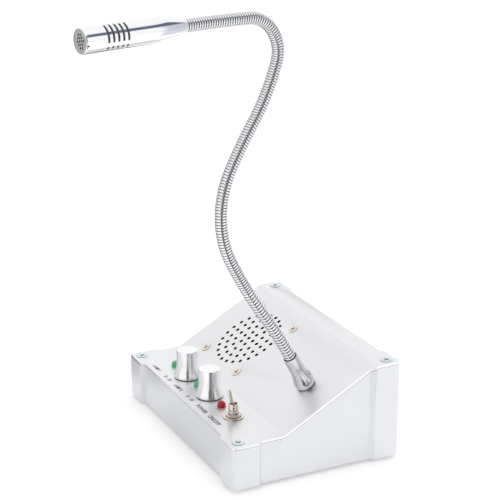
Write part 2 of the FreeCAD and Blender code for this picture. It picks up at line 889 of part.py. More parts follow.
def make_cloth():
    """The dark cloth behind the grille, clamped under the flange of the loudspeaker."""
    owner = new_body("grille_cloth")
    square = new_sketch(owner, "XY_Plane", lift=f"-{SPEAKER_BACK}")
    draw_outline(square, box_points("0", "0", "speaker_side / 2", "speaker_side / 2"))
    pad(owner, square, "cloth_thickness")
    pad(owner, screw_circles(owner, SPEAKER_BACK, "speaker_ear"), "cloth_thickness")
    holes = screw_circles(owner, "panel_thickness", "speaker_screw_radius + screw_gap")
    pocket(owner, holes, "cloth_thickness * 2")
    return place_on_slope(owner, "speaker_x", "speaker_up")


FLANGE_BACK = f"({SPEAKER_BACK} + speaker_flange)"
BASKET_BACK = f"({SPEAKER_BACK} + basket_depth)"
PLATE_BACK = f"({BASKET_BACK} + front_plate_height)"
MAGNET_BACK = f"({PLATE_BACK} + magnet_height)"
YOKE_BACK = f"({MAGNET_BACK} + yoke_height)"


def make_speaker_frame():
    """The pressed frame: a square flange with its screw ears, a conical basket with four windows
    and a seat for the magnet."""
    owner = turned("speaker_frame", [
        ("basket_mouth", f"-{SPEAKER_BACK}"),
        ("speaker_side / 2 - basket_edge", f"-{SPEAKER_BACK}"),
        ("speaker_side / 2 - basket_edge", f"-{FLANGE_BACK}"),
        ("basket_mouth + basket_wall", f"-{FLANGE_BACK}"),
        ("basket_throat + basket_wall", f"basket_wall - {BASKET_BACK}"),
        ("basket_throat + basket_wall", f"-{BASKET_BACK}"),
        ("magnet_bore", f"-{BASKET_BACK}"),
        ("magnet_bore", f"basket_wall - {BASKET_BACK}"),
        ("basket_throat - basket_edge", f"basket_wall - {BASKET_BACK}"),
        ("basket_mouth", f"-{FLANGE_BACK}"),
    ])
    square = new_sketch(owner, "XY_Plane", lift=f"-{FLANGE_BACK}")
    draw_outline(square, box_points("0", "0", "speaker_side / 2", "speaker_side / 2"))
    draw_circle(square, "0", "0", "basket_mouth + basket_wall")
    pad(owner, square, "speaker_flange")
    pad(owner, screw_circles(owner, FLANGE_BACK, "speaker_ear"), "speaker_flange")
    window = new_sketch(owner, "XZ_Plane")
    low = f"basket_wall * 3 - {BASKET_BACK}"
    high = f"-{FLANGE_BACK} - basket_wall * 2"
    draw_outline(window, [
        ("-basket_window_low / 2", low),
        ("basket_window_low / 2", low),
        ("basket_window_high / 2", high),
        ("-basket_window_high / 2", high),
    ])
    cut = pocket(owner, window, "basket_mouth + speaker_side")
    ring_of(owner, cut, new_axis(owner), 4)
    mounting = screw_circles(owner, SPEAKER_BACK, "speaker_screw_radius + screw_gap")
    pocket(owner, mounting, "speaker_flange * 3")
    return place_on_slope(owner, "speaker_x", "speaker_up")


def new_axis(owner):
    """An upright axis through the middle of a body, as the normal of an empty sketch."""
    return new_sketch(owner, "XY_Plane")


def make_speaker_motor():
    """The front plate, ferrite ring, and yoke with its pole, stacked behind the basket."""
    ring = [
        ("magnet_bore", f"-{BASKET_BACK}"),
        ("magnet_radius", f"-{BASKET_BACK}"),
        ("magnet_radius", f"-{PLATE_BACK}"),
        ("magnet_bore", f"-{PLATE_BACK}"),
    ]
    front_plate = turned("speaker_front_plate", ring)
    magnet = turned("speaker_magnet", [
        ("magnet_bore", f"-{PLATE_BACK}"),
        ("magnet_radius + magnet_overhang", f"-{PLATE_BACK}"),
        ("magnet_radius + magnet_overhang", f"-{MAGNET_BACK}"),
        ("magnet_bore", f"-{MAGNET_BACK}"),
    ])
    yoke = turned("speaker_yoke", [
        ("0", f"-{BASKET_BACK}"),
        ("pole_radius", f"-{BASKET_BACK}"),
        ("pole_radius", f"-{MAGNET_BACK}"),
        ("magnet_radius", f"-{MAGNET_BACK}"),
        ("magnet_radius", f"-{YOKE_BACK}"),
        ("0", f"-{YOKE_BACK}"),
    ])
    pieces = [front_plate, magnet, yoke]
    for piece in pieces:
        place_on_slope(piece, "speaker_x", "speaker_up")
    return pieces


def make_speaker_cone():
    """The paper cone with its dust cap and surround, and the coil former glued to it."""
    rim = "(basket_mouth - cone_gap)"
    outer = f"({rim} - surround_edge)"
    inner = f"({rim} - surround_width)"
    neck = f"({inner} - surround_roll)"
    crest = f"(surround_rise - {FLANGE_BACK})"
    dip = f"(-surround_dip - {FLANGE_BACK})"
    coil = "(pole_radius + coil_gap)"
    coil_top = f"(basket_wall + coil_lift - {BASKET_BACK})"
    coil_foot = f"-{PLATE_BACK} - coil_reach"
    cone = turned("speaker_cone", [
        ("0", f"{coil_top} + cone_wall + dust_cap_rise"),
        (coil, f"{coil_top} + cone_wall"),
        (neck, dip),
        (inner, crest),
        (outer, crest),
        (rim, f"-{FLANGE_BACK} + cone_wall"),
        (rim, f"-{FLANGE_BACK}"),
        (outer, f"{crest} - cone_wall"),
        (inner, f"{crest} - cone_wall"),
        (neck, f"{dip} - cone_wall"),
        (f"{coil} + coil_wall", coil_top),
        (coil, coil_top),
        ("0", f"{coil_top} + dust_cap_rise"),
    ])
    former = turned("voice_coil", [
        (coil, coil_top),
        (f"{coil} + coil_wall", coil_top),
        (f"{coil} + coil_wall", coil_foot),
        (coil, coil_foot),
    ])
    for piece in (cone, former):
        place_on_slope(piece, "speaker_x", "speaker_up")
    return [cone, former]


def hexagon_nut(label, flats, height, bore):
    """A hexagon nut standing on the origin."""
    owner = new_body(label)
    plan = new_sketch(owner, "XY_Plane")
    draw_outline(plan, hexagon_points("0", "0", flats))
    draw_circle(plan, "0", "0", bore)
    pad(owner, plan, height)
    return owner


def washer(label, outer, inner, height):
    """A flat washer standing on the origin."""
    return turned(label, [(inner, "0"), (outer, "0"), (outer, height), (inner, height)])


def make_speaker_fixings():
    """Four countersunk screws through the slope, and their nuts behind the flange."""
    half = "speaker_screw_spacing / 2"
    screw = countersunk_screw(
        "speaker_screw", "speaker_screw_radius", "speaker_screw_head", "speaker_screw_length",
        "(panel_thickness * head_share)")
    nut = hexagon_nut("speaker_nut", "nut_flats", "nut_height", "speaker_screw_radius + screw_gap")
    heads = []
    backs = []
    for x, up in four_corners(half, half):
        heads.append((f"speaker_x + {x}", f"(speaker_up + {up})"))
        backs.append((f"speaker_x + {x}", f"(speaker_up + {up})", f"-{FLANGE_BACK} - nut_height"))
    screws = copies("speaker_screws", screw, heads, put=place_on_slope)
    nuts = copies("speaker_nuts", nut, backs, put=place_on_slope)
    return [screws, nuts]


# Circuit boards and what stands on them

def board(label, x, y, top, width, depth):
    """A rectangular board, given its middle and its upper face."""
    owner = new_body(label)
    plan = new_sketch(owner, "XY_Plane", lift=top)
    draw_outline(plan, box_points(x, y, f"{width} / 2", f"{depth} / 2"))
    pad(owner, plan, "board_thickness", down=True)
    return owner


def make_boards():
    """The board behind the controls, and the main board on its spacers."""
    control = board("control_board", "0", ROW, CONTROL_TOP, "control_board_width",
                    "control_board_depth")
    main = board("main_board", MAIN_X, MAIN_Y, MAIN_TOP, "main_board_width", "main_board_depth")
    spacer = turned("spacer", [
        ("0", "0"),
        ("spacer_radius", "0"),
        ("spacer_radius", "spacer_height"),
        ("0", "spacer_height"),
    ])
    half_x = "(main_board_width / 2 - spacer_inset)"
    half_y = "(main_board_depth / 2 - spacer_inset)"
    spots = [(f"{MAIN_X} + {x}", f"{MAIN_Y} + {y}", FLOOR_TOP) for x, y in four_corners(half_x, half_y)]
    return [control, main, copies("board_spacers", spacer, spots)]


def make_board_parts():
    """The amplifier chip under its finned heat sink, and a row of electrolytic capacitors."""
    chip_x, chip_y = f"{MAIN_X} + chip_right", f"{MAIN_Y} - chip_front"
    chip = new_body("amplifier_chip")
    plan = new_sketch(chip, "XY_Plane")
    draw_outline(plan, box_points("0", "0", "chip_width / 2", "chip_depth / 2"))
    pad(chip, plan, "chip_height")
    place(chip, chip_x, chip_y, MAIN_TOP)
    sink = new_body("heat_sink")
    fins = new_sketch(sink, "XZ_Plane")
    draw_outline(fins, comb_points())
    pad(sink, fins, "fin_length", both=True)
    place(sink, chip_x, chip_y, f"{MAIN_TOP} + chip_height")
    can = turned("capacitor", [
        ("0", "0"),
        ("can_radius", "0"),
        ("can_radius", "can_height - can_edge"),
        ("can_radius - can_edge", "can_height"),
        ("0", "can_height"),
    ])
    spots = []
    for step in range(int(number("can_count"))):
        spots.append((f"{MAIN_X} + can_right", f"{MAIN_Y} - can_front + {step} * can_pitch", MAIN_TOP))
    return [chip, sink, copies("capacitors", can, spots)]


def comb_points():
    """The section of the heat sink: a base with upright fins, centred on the origin."""
    left = "(-((fin_count - 1) * fin_pitch + fin_thickness) / 2)"
    points = [(left, "0"), (f"-{left}", "0")]
    for fin in reversed(range(int(number("fin_count")))):
        start = f"{left} + {fin} * fin_pitch"
        points.append((f"{start} + fin_thickness", "fin_height"))
        points.append((start, "fin_height"))
        if fin:
            points.append((start, "fin_base"))
            points.append((f"{start} - fin_pitch + fin_thickness", "fin_base"))
    return points


# Volume controls and their knobs

def make_pots():
    """Two rotary controls hung from the panel by their bushings, with washers and nuts."""
    bore = "shaft_radius + running_gap"
    pot = turned("volume_pot", [
        (bore, "pot_bushing_length"),
        (bore, "pot_floor - pot_height"),
        ("0", "pot_floor - pot_height"),
        ("0", "-pot_height"),
        ("pot_radius", "-pot_height"),
        ("pot_radius", "0"),
        ("pot_bushing_radius", "0"),
        ("pot_bushing_radius", "pot_bushing_length"),
    ])
    lugs = new_sketch(pot, "XY_Plane", lift="-pot_height")
    for lug in (-1, 0, 1):
        x = f"{lug} * pot_lug_pitch"
        draw_outline(lugs, box_points(x, "-pot_lug_back", "pot_lug_width / 2", "pot_lug_thickness / 2"))
    pad(pot, lugs, "control_board_drop - pot_height", down=True)
    hole = "pot_bushing_radius + screw_gap"
    ring = washer("pot_washer", "pot_washer_radius", hole, "pot_washer_height")
    nut = hexagon_nut("pot_nut", "pot_nut_flats", "pot_nut_height", hole)
    xs = ("left_knob_x", "right_knob_x")
    return [
        copies("volume_pots", pot, [(x, ROW, UNDER_PANEL) for x in xs]),
        copies("pot_washers", ring, [(x, ROW, FRONT_TOP) for x in xs]),
        copies("pot_nuts", nut, [(x, ROW, f"{FRONT_TOP} + pot_washer_height") for x in xs]),
    ]


KNOB_SPREAD = "(knob_foot_radius - knob_top_radius)"
KNOB_RISE = "(knob_flare_height - knob_rim)"
KNOB_FLARE = f"(({KNOB_RISE}^2 + {KNOB_SPREAD}^2) / (2 * {KNOB_SPREAD}))"
KNOB_SCREW = "(knob_recess_depth + grub_radius + knob_screw_rise)"


def make_knob(side):
    """A turned aluminium knob with a flared foot, on its shaft, held by a grub screw."""
    bore = "shaft_radius + shaft_gap"
    knob = turned(f"{side}_knob", [
        (bore, "knob_recess_depth"),
        ("knob_recess_radius", "knob_recess_depth"),
        ("knob_recess_radius", "0"),
        ("knob_foot_radius - knob_edge", "0"),
        ("knob_foot_radius", "knob_edge"),
        ("knob_foot_radius", "knob_rim", f"-{KNOB_FLARE}"),
        ("knob_top_radius", "knob_flare_height"),
        ("knob_top_radius", "knob_height - knob_edge"),
        ("knob_top_radius - knob_edge", "knob_height"),
        ("0", "knob_height"),
        ("0", "knob_bore_depth"),
        (bore, "knob_bore_depth"),
    ])
    side_hole = new_sketch(knob, "XZ_Plane", lift="-knob_foot_radius")
    draw_circle(side_hole, "0", KNOB_SCREW, "grub_radius + screw_gap")
    pocket(knob, side_hole, "knob_foot_radius", up=True)
    place(knob, f"{side}_knob_x", ROW, KNOB_BASE)
    foot = f"{UNDER_PANEL} - pot_height + pot_floor + shaft_end_gap"
    top = f"{KNOB_BASE} + knob_bore_depth - shaft_top_gap"
    shaft = turned(f"{side}_shaft", [
        ("0", foot),
        ("shaft_radius", foot),
        ("shaft_radius", top),
        ("0", top),
    ])
    place(shaft, f"{side}_knob_x", ROW, "0")
    screw = grub_screw(f"{side}_knob_screw", "grub_radius", "knob_top_radius - shaft_radius - grub_sink")
    screw.Placement = Placement(Vector(), Rotation(X_AXIS, -90))
    place(screw, f"{side}_knob_x", f"{ROW} + shaft_radius + screw_gap", f"{KNOB_BASE} + {KNOB_SCREW}")
    return [knob, shaft, screw]


def grub_screw(label, radius, length):
    """A headless screw standing on the origin, with a hexagon socket in its upper end."""
    owner = turned(label, [("0", "0"), (radius, "0"), (radius, length), ("0", length)])
    socket = new_sketch(owner, "XY_Plane", lift=length)
    draw_outline(socket, hexagon_points("0", "0", radius))
    pocket(owner, socket, f"({length}) / 2")
    return owner


# Lamps

def make_lamps():
    """Round-topped lamps: two green, one red, each with a flange under the panel and two legs."""
    section = [
        ("0", "-lamp_flange_height"),
        ("lamp_flange", "-lamp_flange_height"),
        ("lamp_flange", "0"),
        ("lamp_radius", "0"),
        ("lamp_radius", "panel_thickness + lamp_shoulder", "lamp_radius"),
        ("0", "panel_thickness + lamp_shoulder + lamp_radius"),
    ]
    green = turned("green_lamp", section)
    red = turned("red_lamp", section)
    place(red, "right_lamp_x", ROW, UNDER_PANEL)
    leg = new_body("lamp_leg")
    plan = new_sketch(leg, "XY_Plane")
    draw_outline(plan, box_points("0", "0", "lamp_leg / 2", "lamp_leg / 2"))
    pad(leg, plan, "control_board_drop - lamp_flange_height")
    legs = []
    for x in ("left_lamp_x", "middle_lamp_x", "right_lamp_x"):
        for sign in ("-", "+"):
            legs.append((f"{x} {sign} lamp_leg_offset", ROW, CONTROL_TOP))
    greens = [("left_lamp_x", ROW, UNDER_PANEL), ("middle_lamp_x", ROW, UNDER_PANEL)]
    return [copies("green_lamps", green, greens), red, copies("lamp_legs", leg, legs)]


# Toggle switch

def make_switch():
    """The switch case, its threaded bushing, and the washer and nut that clamp it."""
    case = new_body("switch_case")
    plan = new_sketch(case, "XY_Plane")
    half_x, half_y = "switch_case_width / 2", "switch_case_depth / 2"
    draw_outline(plan, box_points("0", "0", half_x, half_y))
    pad(case, plan, "switch_case_height")
    pins = new_sketch(case, "XY_Plane")
    for step in (-1, 0, 1):
        y = f"{step} * switch_pin_pitch"
        draw_outline(pins, box_points("0", y, "switch_pin_width / 2", "switch_pin_thickness / 2"))
    pad(case, pins, "control_board_drop - switch_case_height - switch_frame", down=True)
    place(case, "switch_x", ROW, f"{UNDER_PANEL} - switch_case_height - switch_frame")
    bushing = new_body("switch_bushing")
    foot = new_sketch(bushing, "XY_Plane")
    draw_outline(foot, box_points("0", "0", half_x, half_y))
    pad(bushing, foot, "switch_frame", down=True)
    tube = new_sketch(bushing, "XY_Plane")
    draw_circle(tube, "0", "0", "bushing_radius")
    pad(bushing, tube, "panel_thickness + bushing_height")
    bore = new_sketch(bushing, "XY_Plane", lift="panel_thickness + bushing_height")
    draw_circle(bore, "0", "0", "bushing_bore")
    pocket(bushing, bore, "panel_thickness + bushing_height")
    place(bushing, "switch_x", ROW, UNDER_PANEL)
    gap = "bushing_radius + screw_gap"
    ring = washer("switch_washer", "switch_washer_radius", gap, "switch_washer_height")
    nut = hexagon_nut("switch_nut", "switch_nut_flats", "switch_nut_height", gap)
    place(ring, "switch_x", ROW, FRONT_TOP)
    place(nut, "switch_x", ROW, f"{FRONT_TOP} + switch_washer_height")
    return [case, bushing, ring, nut]


def make_lever():
    """The bat lever: a ball in the bushing, a slim neck, a thicker rounded tip, and a tail."""
    ball = "(bushing_bore - running_gap)"
    cut = f"sqrt({ball}^2 - lever_neck^2)"
    lever = turned("toggle_lever", [
        ("0", "-lever_tail"),
        ("lever_neck", "-lever_tail"),
        ("lever_neck", f"-{cut}", ball),
        ("lever_neck", cut),
        ("lever_tip", "lever_length - lever_tip - lever_tip_run"),
        ("lever_tip", "lever_length - lever_tip", "lever_tip"),
        ("0", "lever_length"),
    ])
    lever.Placement = Placement(Vector(), Rotation(X_AXIS, number("lever_tilt")))
    bind(lever, "Placement.Rotation.Angle", "lever_tilt")
    return place(lever, "switch_x", ROW, PIVOT)


# Sockets in the rear wall

def place_in_wall(item, x):
    """Sets a socket against the inside of the rear wall, facing out."""
    item.Placement = Placement(Vector(), Rotation(X_AXIS, -90))
    return place(item, x, INNER_Y, SOCKET_AXIS)


def socket_body(label, length, nose_radius, nose_length):
    """A moulded block behind the wall with a round nose through it."""
    owner = new_body(label)
    block = new_sketch(owner, "XY_Plane")
    draw_outline(block, box_points("0", "0", "socket_body_width / 2", "socket_body_height / 2"))
    pad(owner, block, length, down=True)
    nose = new_sketch(owner, "XY_Plane")
    draw_circle(nose, "0", "0", nose_radius)
    pad(owner, nose, nose_length)
    return owner


def make_sockets():
    """The round power inlet with its centre pin, and two small jack sockets with ring nuts."""
    power = socket_body("power_socket", "power_body_length", "power_barrel_radius", "wall")
    mouth = new_sketch(power, "XY_Plane", lift="wall")
    draw_circle(mouth, "0", "0", "power_bore_radius")
    draw_circle(mouth, "0", "0", "power_pin_radius")
    pocket(power, mouth, "wall + power_bore_reach")
    place_in_wall(power, "power_socket_x")
    reach = "wall + jack_bushing_length"
    jack = socket_body("jack_socket", "jack_body_length", "jack_bushing_radius", reach)
    bore = new_sketch(jack, "XY_Plane", lift=reach)
    draw_circle(bore, "0", "0", "jack_bore_radius")
    pocket(jack, bore, "jack_bore_depth")
    nut = washer("jack_nut", "jack_nut_radius", "jack_bushing_radius + screw_gap", "jack_nut_height")
    xs = ("line_socket_x", "door_socket_x")
    jacks = copies("jack_sockets", jack, [(x,) for x in xs], put=place_in_wall)
    nuts = copies("jack_nuts", nut, [(x,) for x in xs], put=place_on_wall)
    return [power, jacks, nuts]


def place_on_wall(item, x):
    """Sets a ring nut on the outside of the rear wall."""
    item.Placement = Placement(Vector(), Rotation(X_AXIS, -90))
    return place(item, x, f"{INNER_Y} + wall", SOCKET_AXIS)


# Collar of the neck

NECK_SEAT = "(neck_plain + seat_gap)"


def radial_sketch(owner, angle, lift):
    """A sketch that faces out from the upright axis of a body, at an angle from +X towards +Y."""
    sketch = new_sketch(owner, "YZ_Plane", lift="0")
    turn = Rotation(Vector(0, 1, 0), number(angle))
    sketch.AttachmentOffset = Placement(Vector(), turn)
    bind(sketch, "AttachmentOffset.Rotation.Angle", angle)
    bind(sketch, "AttachmentOffset.Base.x", f"{lift} * sin({angle})")
    bind(sketch, "AttachmentOffset.Base.z", f"{lift} * cos({angle})")
    return sketch


def make_collar():
    """The turned collar with its belly, mouth and threaded stud, and the nut under the panel."""
    sweep = "(collar_belly_radius - collar_waist_radius)"
    rise = "(collar_waist_height - collar_belly_height)"
    waist_arc = f"(({rise}^2 + {sweep}^2) / (2 * {sweep}))"
    belly_run = "(collar_belly_radius - collar_foot_radius)"
    belly_arc = f"((collar_belly_height^2 + {belly_run}^2) / (2 * {belly_run}))"
    low = "-(panel_thickness + stud_length)"
    collar = turned("neck_collar", [
        ("stud_bore", low),
        ("stud_radius", low),
        ("stud_radius", "0"),
        ("collar_foot_radius", "0", belly_arc),
        ("collar_belly_radius", "collar_belly_height", f"-{waist_arc}"),
        ("collar_waist_radius", "collar_waist_height"),
        ("collar_top_radius", "collar_height"),
        ("collar_mouth_radius", "collar_height"),
        (NECK_SEAT, "collar_height - collar_mouth_depth"),
        (NECK_SEAT, "collar_height - collar_bore_depth"),
        ("stud_bore", "collar_height - collar_bore_depth"),
    ])
    hole = radial_sketch(collar, "collar_screw_angle", "collar_belly_radius")
    draw_circle(hole, "0", "collar_screw_height", "grub_radius + screw_gap")
    pocket(collar, hole, f"collar_belly_radius - {NECK_SEAT} + overcut")
    place_on_slope(collar, NECK_X, "neck_up")
    bore = "stud_radius + screw_gap"
    nut = hexagon_nut("collar_nut", "collar_nut_flats", "collar_nut_height", bore)
    place_on_slope(nut, NECK_X, "neck_up", "-panel_thickness - collar_nut_height")
    screw = grub_screw("collar_screw", "grub_radius", f"(collar_belly_radius - {NECK_SEAT} - grub_sink)")
    lie = lying_out(NECK_SEAT, "collar_screw_angle", "collar_screw_height")
    screw.Placement = collar.Placement.multiply(lie)
    return [collar, nut, screw]


def lying_out(radius, angle, height):
    """The place of a piece that points out from an axis, at an angle round it and a height."""
    out = Placement(Vector(), Rotation(Z_AXIS, number(angle)))
    lie = Placement(Vector(number(radius), 0, number(height)), Rotation(Y_AXIS, 90))
    return out.multiply(lie)


# Flexible neck

def neck_foot():
    """Where the axis of the neck leaves the slope, with its plane swung to the right."""
    y = number(f"neck_up * cos({SLOPE}) - front_bend")
    z = number(f"{FRONT_TOP} + neck_up * sin({SLOPE})")
    turn = Rotation(X_AXIS, number(SLOPE)).multiply(Rotation(Z_AXIS, number("neck_swing")))
    return Placement(Vector(number(NECK_X), y, z), turn)


def neck_stretches():
    """Length and turn of each stretch of the neck, from the panel to the microphone."""
    arcs = [(number(f"neck_arc_{i}"), number(f"neck_turn_{i}")) for i in NECK_ARCS]
    return [(number("neck_straight"), 0.0)] + arcs


def neck_point(travel):
    """The frame of the neck after a travel from the panel, with its Z axis along the neck."""
    y = z = heading = 0.0
    stretches = neck_stretches()
    for index, (length, turn) in enumerate(stretches):
        last = index == len(stretches) - 1
        run = travel if last else min(travel, length)
        bend = math.radians(turn) * run / length
        chord = run if abs(bend) < 1e-9 else run * math.sin(bend / 2) / (bend / 2)
        y -= chord * math.sin(heading + bend / 2)
        z += chord * math.cos(heading + bend / 2)
        heading += bend
        travel -= run
        if travel <= 0 and not last:
            break
    bent = Placement(Vector(0, y, z), Rotation(X_AXIS, math.degrees(heading)))
    return neck_foot().multiply(bent)


def neck_marks():
    """Travels at which the stretches of the neck begin and end."""
    marks = [0.0]
    for length, _ in neck_stretches():
        marks.append(marks[-1] + length)
    return marks[1:]


def ring_wire(place_at, radius):
    """A circle square to the neck, with its seam on a steady X axis."""
    ring = Part.Wire(Part.makeCircle(radius))
    ring.Placement = place_at
    return ring


def rib_stations(start, end):
    """Travel and radius of the four circles of each rib between two travels."""
    pitch = number("rib_pitch")
    count = max(1, round((end - start) / pitch))
    step = (end - start) / count
    slope = number("rib_slope") * step
    root, crest = number("neck_root"), number("neck_radius")
    stations = [(start, root)]
    for rib in range(count):
        foot = start + rib * step
        stations.append((foot + slope, crest))
        stations.append((foot + step - slope, crest))
        stations.append((foot + step, root))
    return stations


def neck_section(index, start, end, plain_start=0.0, plain_end=0.0):
    """One rigid length of the ribbed neck, with plain ends where it is seated."""
    plain = number("neck_plain")
    step = number("rib_lead")
    stations = rib_stations(start + plain_start, end - plain_end)
    if plain_start:
        stations[0] = (start + plain_start + step, stations[0][1])
        stations = [(start, plain), (start + plain_start, plain)] + stations
    if plain_end:
        stations[-1] = (end - plain_end - step, stations[-1][1])
        stations += [(end - plain_end, plain), (end, plain)]
    origin = neck_point(start)
    back = origin.inverse()
    rings = [ring_wire(back.multiply(neck_point(travel)), radius) for travel, radius in stations]
    outside = Part.makeLoft(rings, True, True)
    label = f"neck_section_{index}"
    item = doc.addObject("Part::Feature", label)
    item.Label = label
    item.Shape = outside.cut(bore_solid(start, end, back))
    item.Placement = origin
    return item


def bore_solid(start, end, back):
    """The round hole along one section, a little longer than it at both ends."""
    marks = [start] + [mark for mark in neck_marks() if start < mark < end] + [end]
    edges = []
    reach = Vector(0, 0, 1)
    first, last = (back.multiply(neck_point(travel)) for travel in (start, end))
    edges.append(Part.LineSegment(first.multVec(-reach), first.Base).toShape())
    for low, high in zip(marks, marks[1:]):
        a, b, c = (back.multiply(neck_point(t)).Base for t in (low, (low + high) / 2, high))
        bent = abs((b - a).cross(c - a).Length) > 1e-6
        edges.append(Part.Arc(a, b, c).toShape() if bent else Part.LineSegment(a, c).toShape())
    edges.append(Part.LineSegment(last.Base, last.multVec(reach)).toShape())
    path = Part.Wire(edges)
    rim = ring_wire(Placement(first.multVec(-reach), first.Rotation), number("neck_bore"))
    return path.makePipeShell([rim], True, False)


def make_neck():
    """The sections of the neck from the collar to the microphone, a rib's groove apart."""
    gap = number("joint_gap") / 2
    marks = neck_marks()
    foot = number("collar_height - collar_bore_depth")
    seated = number("collar_bore_depth - neck_lead")
    sections = [neck_section(1, foot, marks[1] - gap, plain_start=seated)]
    for index in range(2, len(NECK_ARCS)):
        sections.append(neck_section(index, marks[index - 1] + gap, marks[index] - gap))
    tail = number("mic_tail_bore")
    sections.append(neck_section(len(NECK_ARCS), marks[-2] + gap, marks[-1] + tail, plain_end=tail))
    return sections


# Microphone, with its axis along the end of the neck and its cap in front

MIC_CAVITY = "(mic_length - mic_cap_sink - mic_cap_skirt)"


def mic_place():
    """The frame of the microphone: its tail is where the neck ends."""
    return neck_point(neck_marks()[-1])


def make_mic_housing():
    """The turned tube with a tapered tail, a bevelled rim, and rows of slots round it."""
    swell = "(mic_radius - mic_tail_radius)"
    taper_arc = f"((mic_taper^2 + {swell}^2) / (2 * {swell}))"
    owner = turned("mic_housing", [
        (NECK_SEAT, "0"),
        ("mic_tail_radius", "0", taper_arc),
        ("mic_radius", "mic_taper"),
        ("mic_radius", "mic_length - mic_rim_length"),
        ("mic_radius - mic_rim", "mic_length"),
        ("mic_cap_radius + seat_gap", "mic_length"),
        ("mic_cap_radius + seat_gap", MIC_CAVITY),
        ("mic_bore", MIC_CAVITY),
        ("mic_bore", "mic_taper"),
        ("neck_bore", "mic_taper"),
        ("neck_bore", "mic_tail_bore + seat_gap"),
        (NECK_SEAT, "mic_tail_bore + seat_gap"),
    ])
    slots = new_sketch(owner, "XZ_Plane")
    slots.AttachmentOffset = Placement(Vector(), Rotation(Y_AXIS, number("mic_slot_start")))
    bind(slots, "AttachmentOffset.Rotation.Angle", "mic_slot_start")
    across = "((mic_bore + mic_radius) / 2)"
    for row in range(int(number("mic_slot_rows"))):
        middle = f"(mic_length - mic_slot_first - {row} * mic_slot_pitch)"
        draw_outline(slots, box_points(across, middle, "(mic_radius - mic_bore)", "mic_slot_width / 2"))
    cut = groove(owner, slots, number("mic_slot_angle"))
    bind(cut, "Angle", "mic_slot_angle")
    ring_of(owner, cut, new_axis(owner), int(number("mic_slots_round")))
    hole = radial_sketch(owner, "mic_screw_angle", "mic_radius")
    draw_circle(hole, "0", "mic_length - mic_screw_back", "mic_screw_radius + screw_gap")
    pocket(owner, hole, "mic_radius - mic_cap_radius + overcut")
    owner.Placement = mic_place()
    return owner


def make_mic_cap():
    """The end cap: a perforated disc with a skirt, and the small screw through the rim that holds it."""
    face = "mic_length - mic_cap_sink"
    owner = turned("mic_cap", [
        ("0", f"{face} - mic_cap_thickness"),
        ("mic_cap_radius - mic_cap_wall", f"{face} - mic_cap_thickness"),
        ("mic_cap_radius - mic_cap_wall", f"{MIC_CAVITY} + seat_gap"),
        ("mic_cap_radius", f"{MIC_CAVITY} + seat_gap"),
        ("mic_cap_radius", face),
        ("0", face),
    ])
    holes = new_sketch(owner, "XY_Plane", lift=face)
    holes.AttachmentOffset = Placement(Vector(), Rotation(Z_AXIS, number("mic_hole_turn")))
    bind(holes, "AttachmentOffset.Rotation.Angle", "mic_hole_turn")
    longest = int(number("mic_middle_row"))
    for row in range(2 - longest, longest - 1):
        count = longest - abs(row)
        for step in range(count):
            x = f"mic_hole_pitch * {step - (count - 1) / 2}"
            y = f"mic_hole_pitch * {row} * sqrt(3) / 2"
            draw_circle(holes, x, y, "mic_hole_radius")
    pocket(owner, holes, "mic_cap_thickness + overcut")
    owner.Placement = mic_place()
    length = "mic_radius - mic_cap_radius - seat_gap * 2"
    screw = turned("mic_screw", [
        ("0", "0"),
        ("mic_screw_radius", "0"),
        ("mic_screw_radius", length),
        ("0", length),
    ])
    lie = lying_out("mic_cap_radius + seat_gap", "mic_screw_angle", "mic_length - mic_screw_back")
    screw.Placement = mic_place().multiply(lie)
    return [owner, screw]


def make_mic_inside():
    """The capsule in its rubber holder, and the dark sleeve behind the slots."""
    fit = "(mic_bore - seat_gap)"
    top = f"({MIC_CAVITY} - capsule_gap)"
    capsule = turned("mic_capsule", [
        ("0", f"{top} - capsule_height"),
        ("capsule_radius", f"{top} - capsule_height"),
        ("capsule_radius", top),
        ("0", top),
    ])
    back = f"({top} - capsule_height - holder_floor)"
    floor = f"{back} + holder_floor - seat_gap"
    holder = turned("mic_holder", [
        ("capsule_radius / 2", back),
        (fit, back),
        (fit, top),
        ("capsule_radius + seat_gap", top),
        ("capsule_radius + seat_gap", floor),
        ("capsule_radius / 2", floor),
    ])
    sleeve = turned("mic_sleeve", [
        ("mic_bore - sleeve_wall", "mic_taper + sleeve_gap"),
        (fit, "mic_taper + sleeve_gap"),
        (fit, f"{back} - sleeve_gap"),
        ("mic_bore - sleeve_wall", f"{back} - sleeve_gap"),
    ])
    pieces = [capsule, holder, sleeve]
    for piece in pieces:
        piece.Placement = mic_place()
    return pieces


def build():
    """Makes every sub-part, in the order of assembly."""
    pieces = [make_housing(), make_top_panel(), make_base_plate()]
    pieces += make_enclosure_fixings()
    pieces += [make_cloth(), make_speaker_frame()]
    pieces += make_speaker_motor()
    pieces += make_speaker_cone()
    pieces += make_speaker_fixings()
    pieces += make_boards()
    pieces += make_board_parts()
    pieces += make_pots()
    for side in ("left", "right"):
        pieces += make_knob(side)
    pieces += make_lamps()
    pieces += make_switch()
    pieces.append(make_lever())
    pieces += make_sockets()
    pieces += make_collar()
    pieces += make_neck()
    pieces.append(make_mic_housing())
    pieces += make_mic_cap()
    pieces += make_mic_inside()
    return pieces


def check(pieces):
    """Refuses a failed object, and a sub-part with no valid solid."""
    doc.recompute()
    for item in doc.Objects:
        if "Invalid" in item.State or "Error" in item.State:
            raise ValueError(f"{item.Name} failed: {item.State}")
    for piece in pieces:
        shape = piece.Shape
        if shape.isNull() or not shape.isValid() or not shape.Solids:
            raise ValueError(f"{piece.Label} has no valid solid")


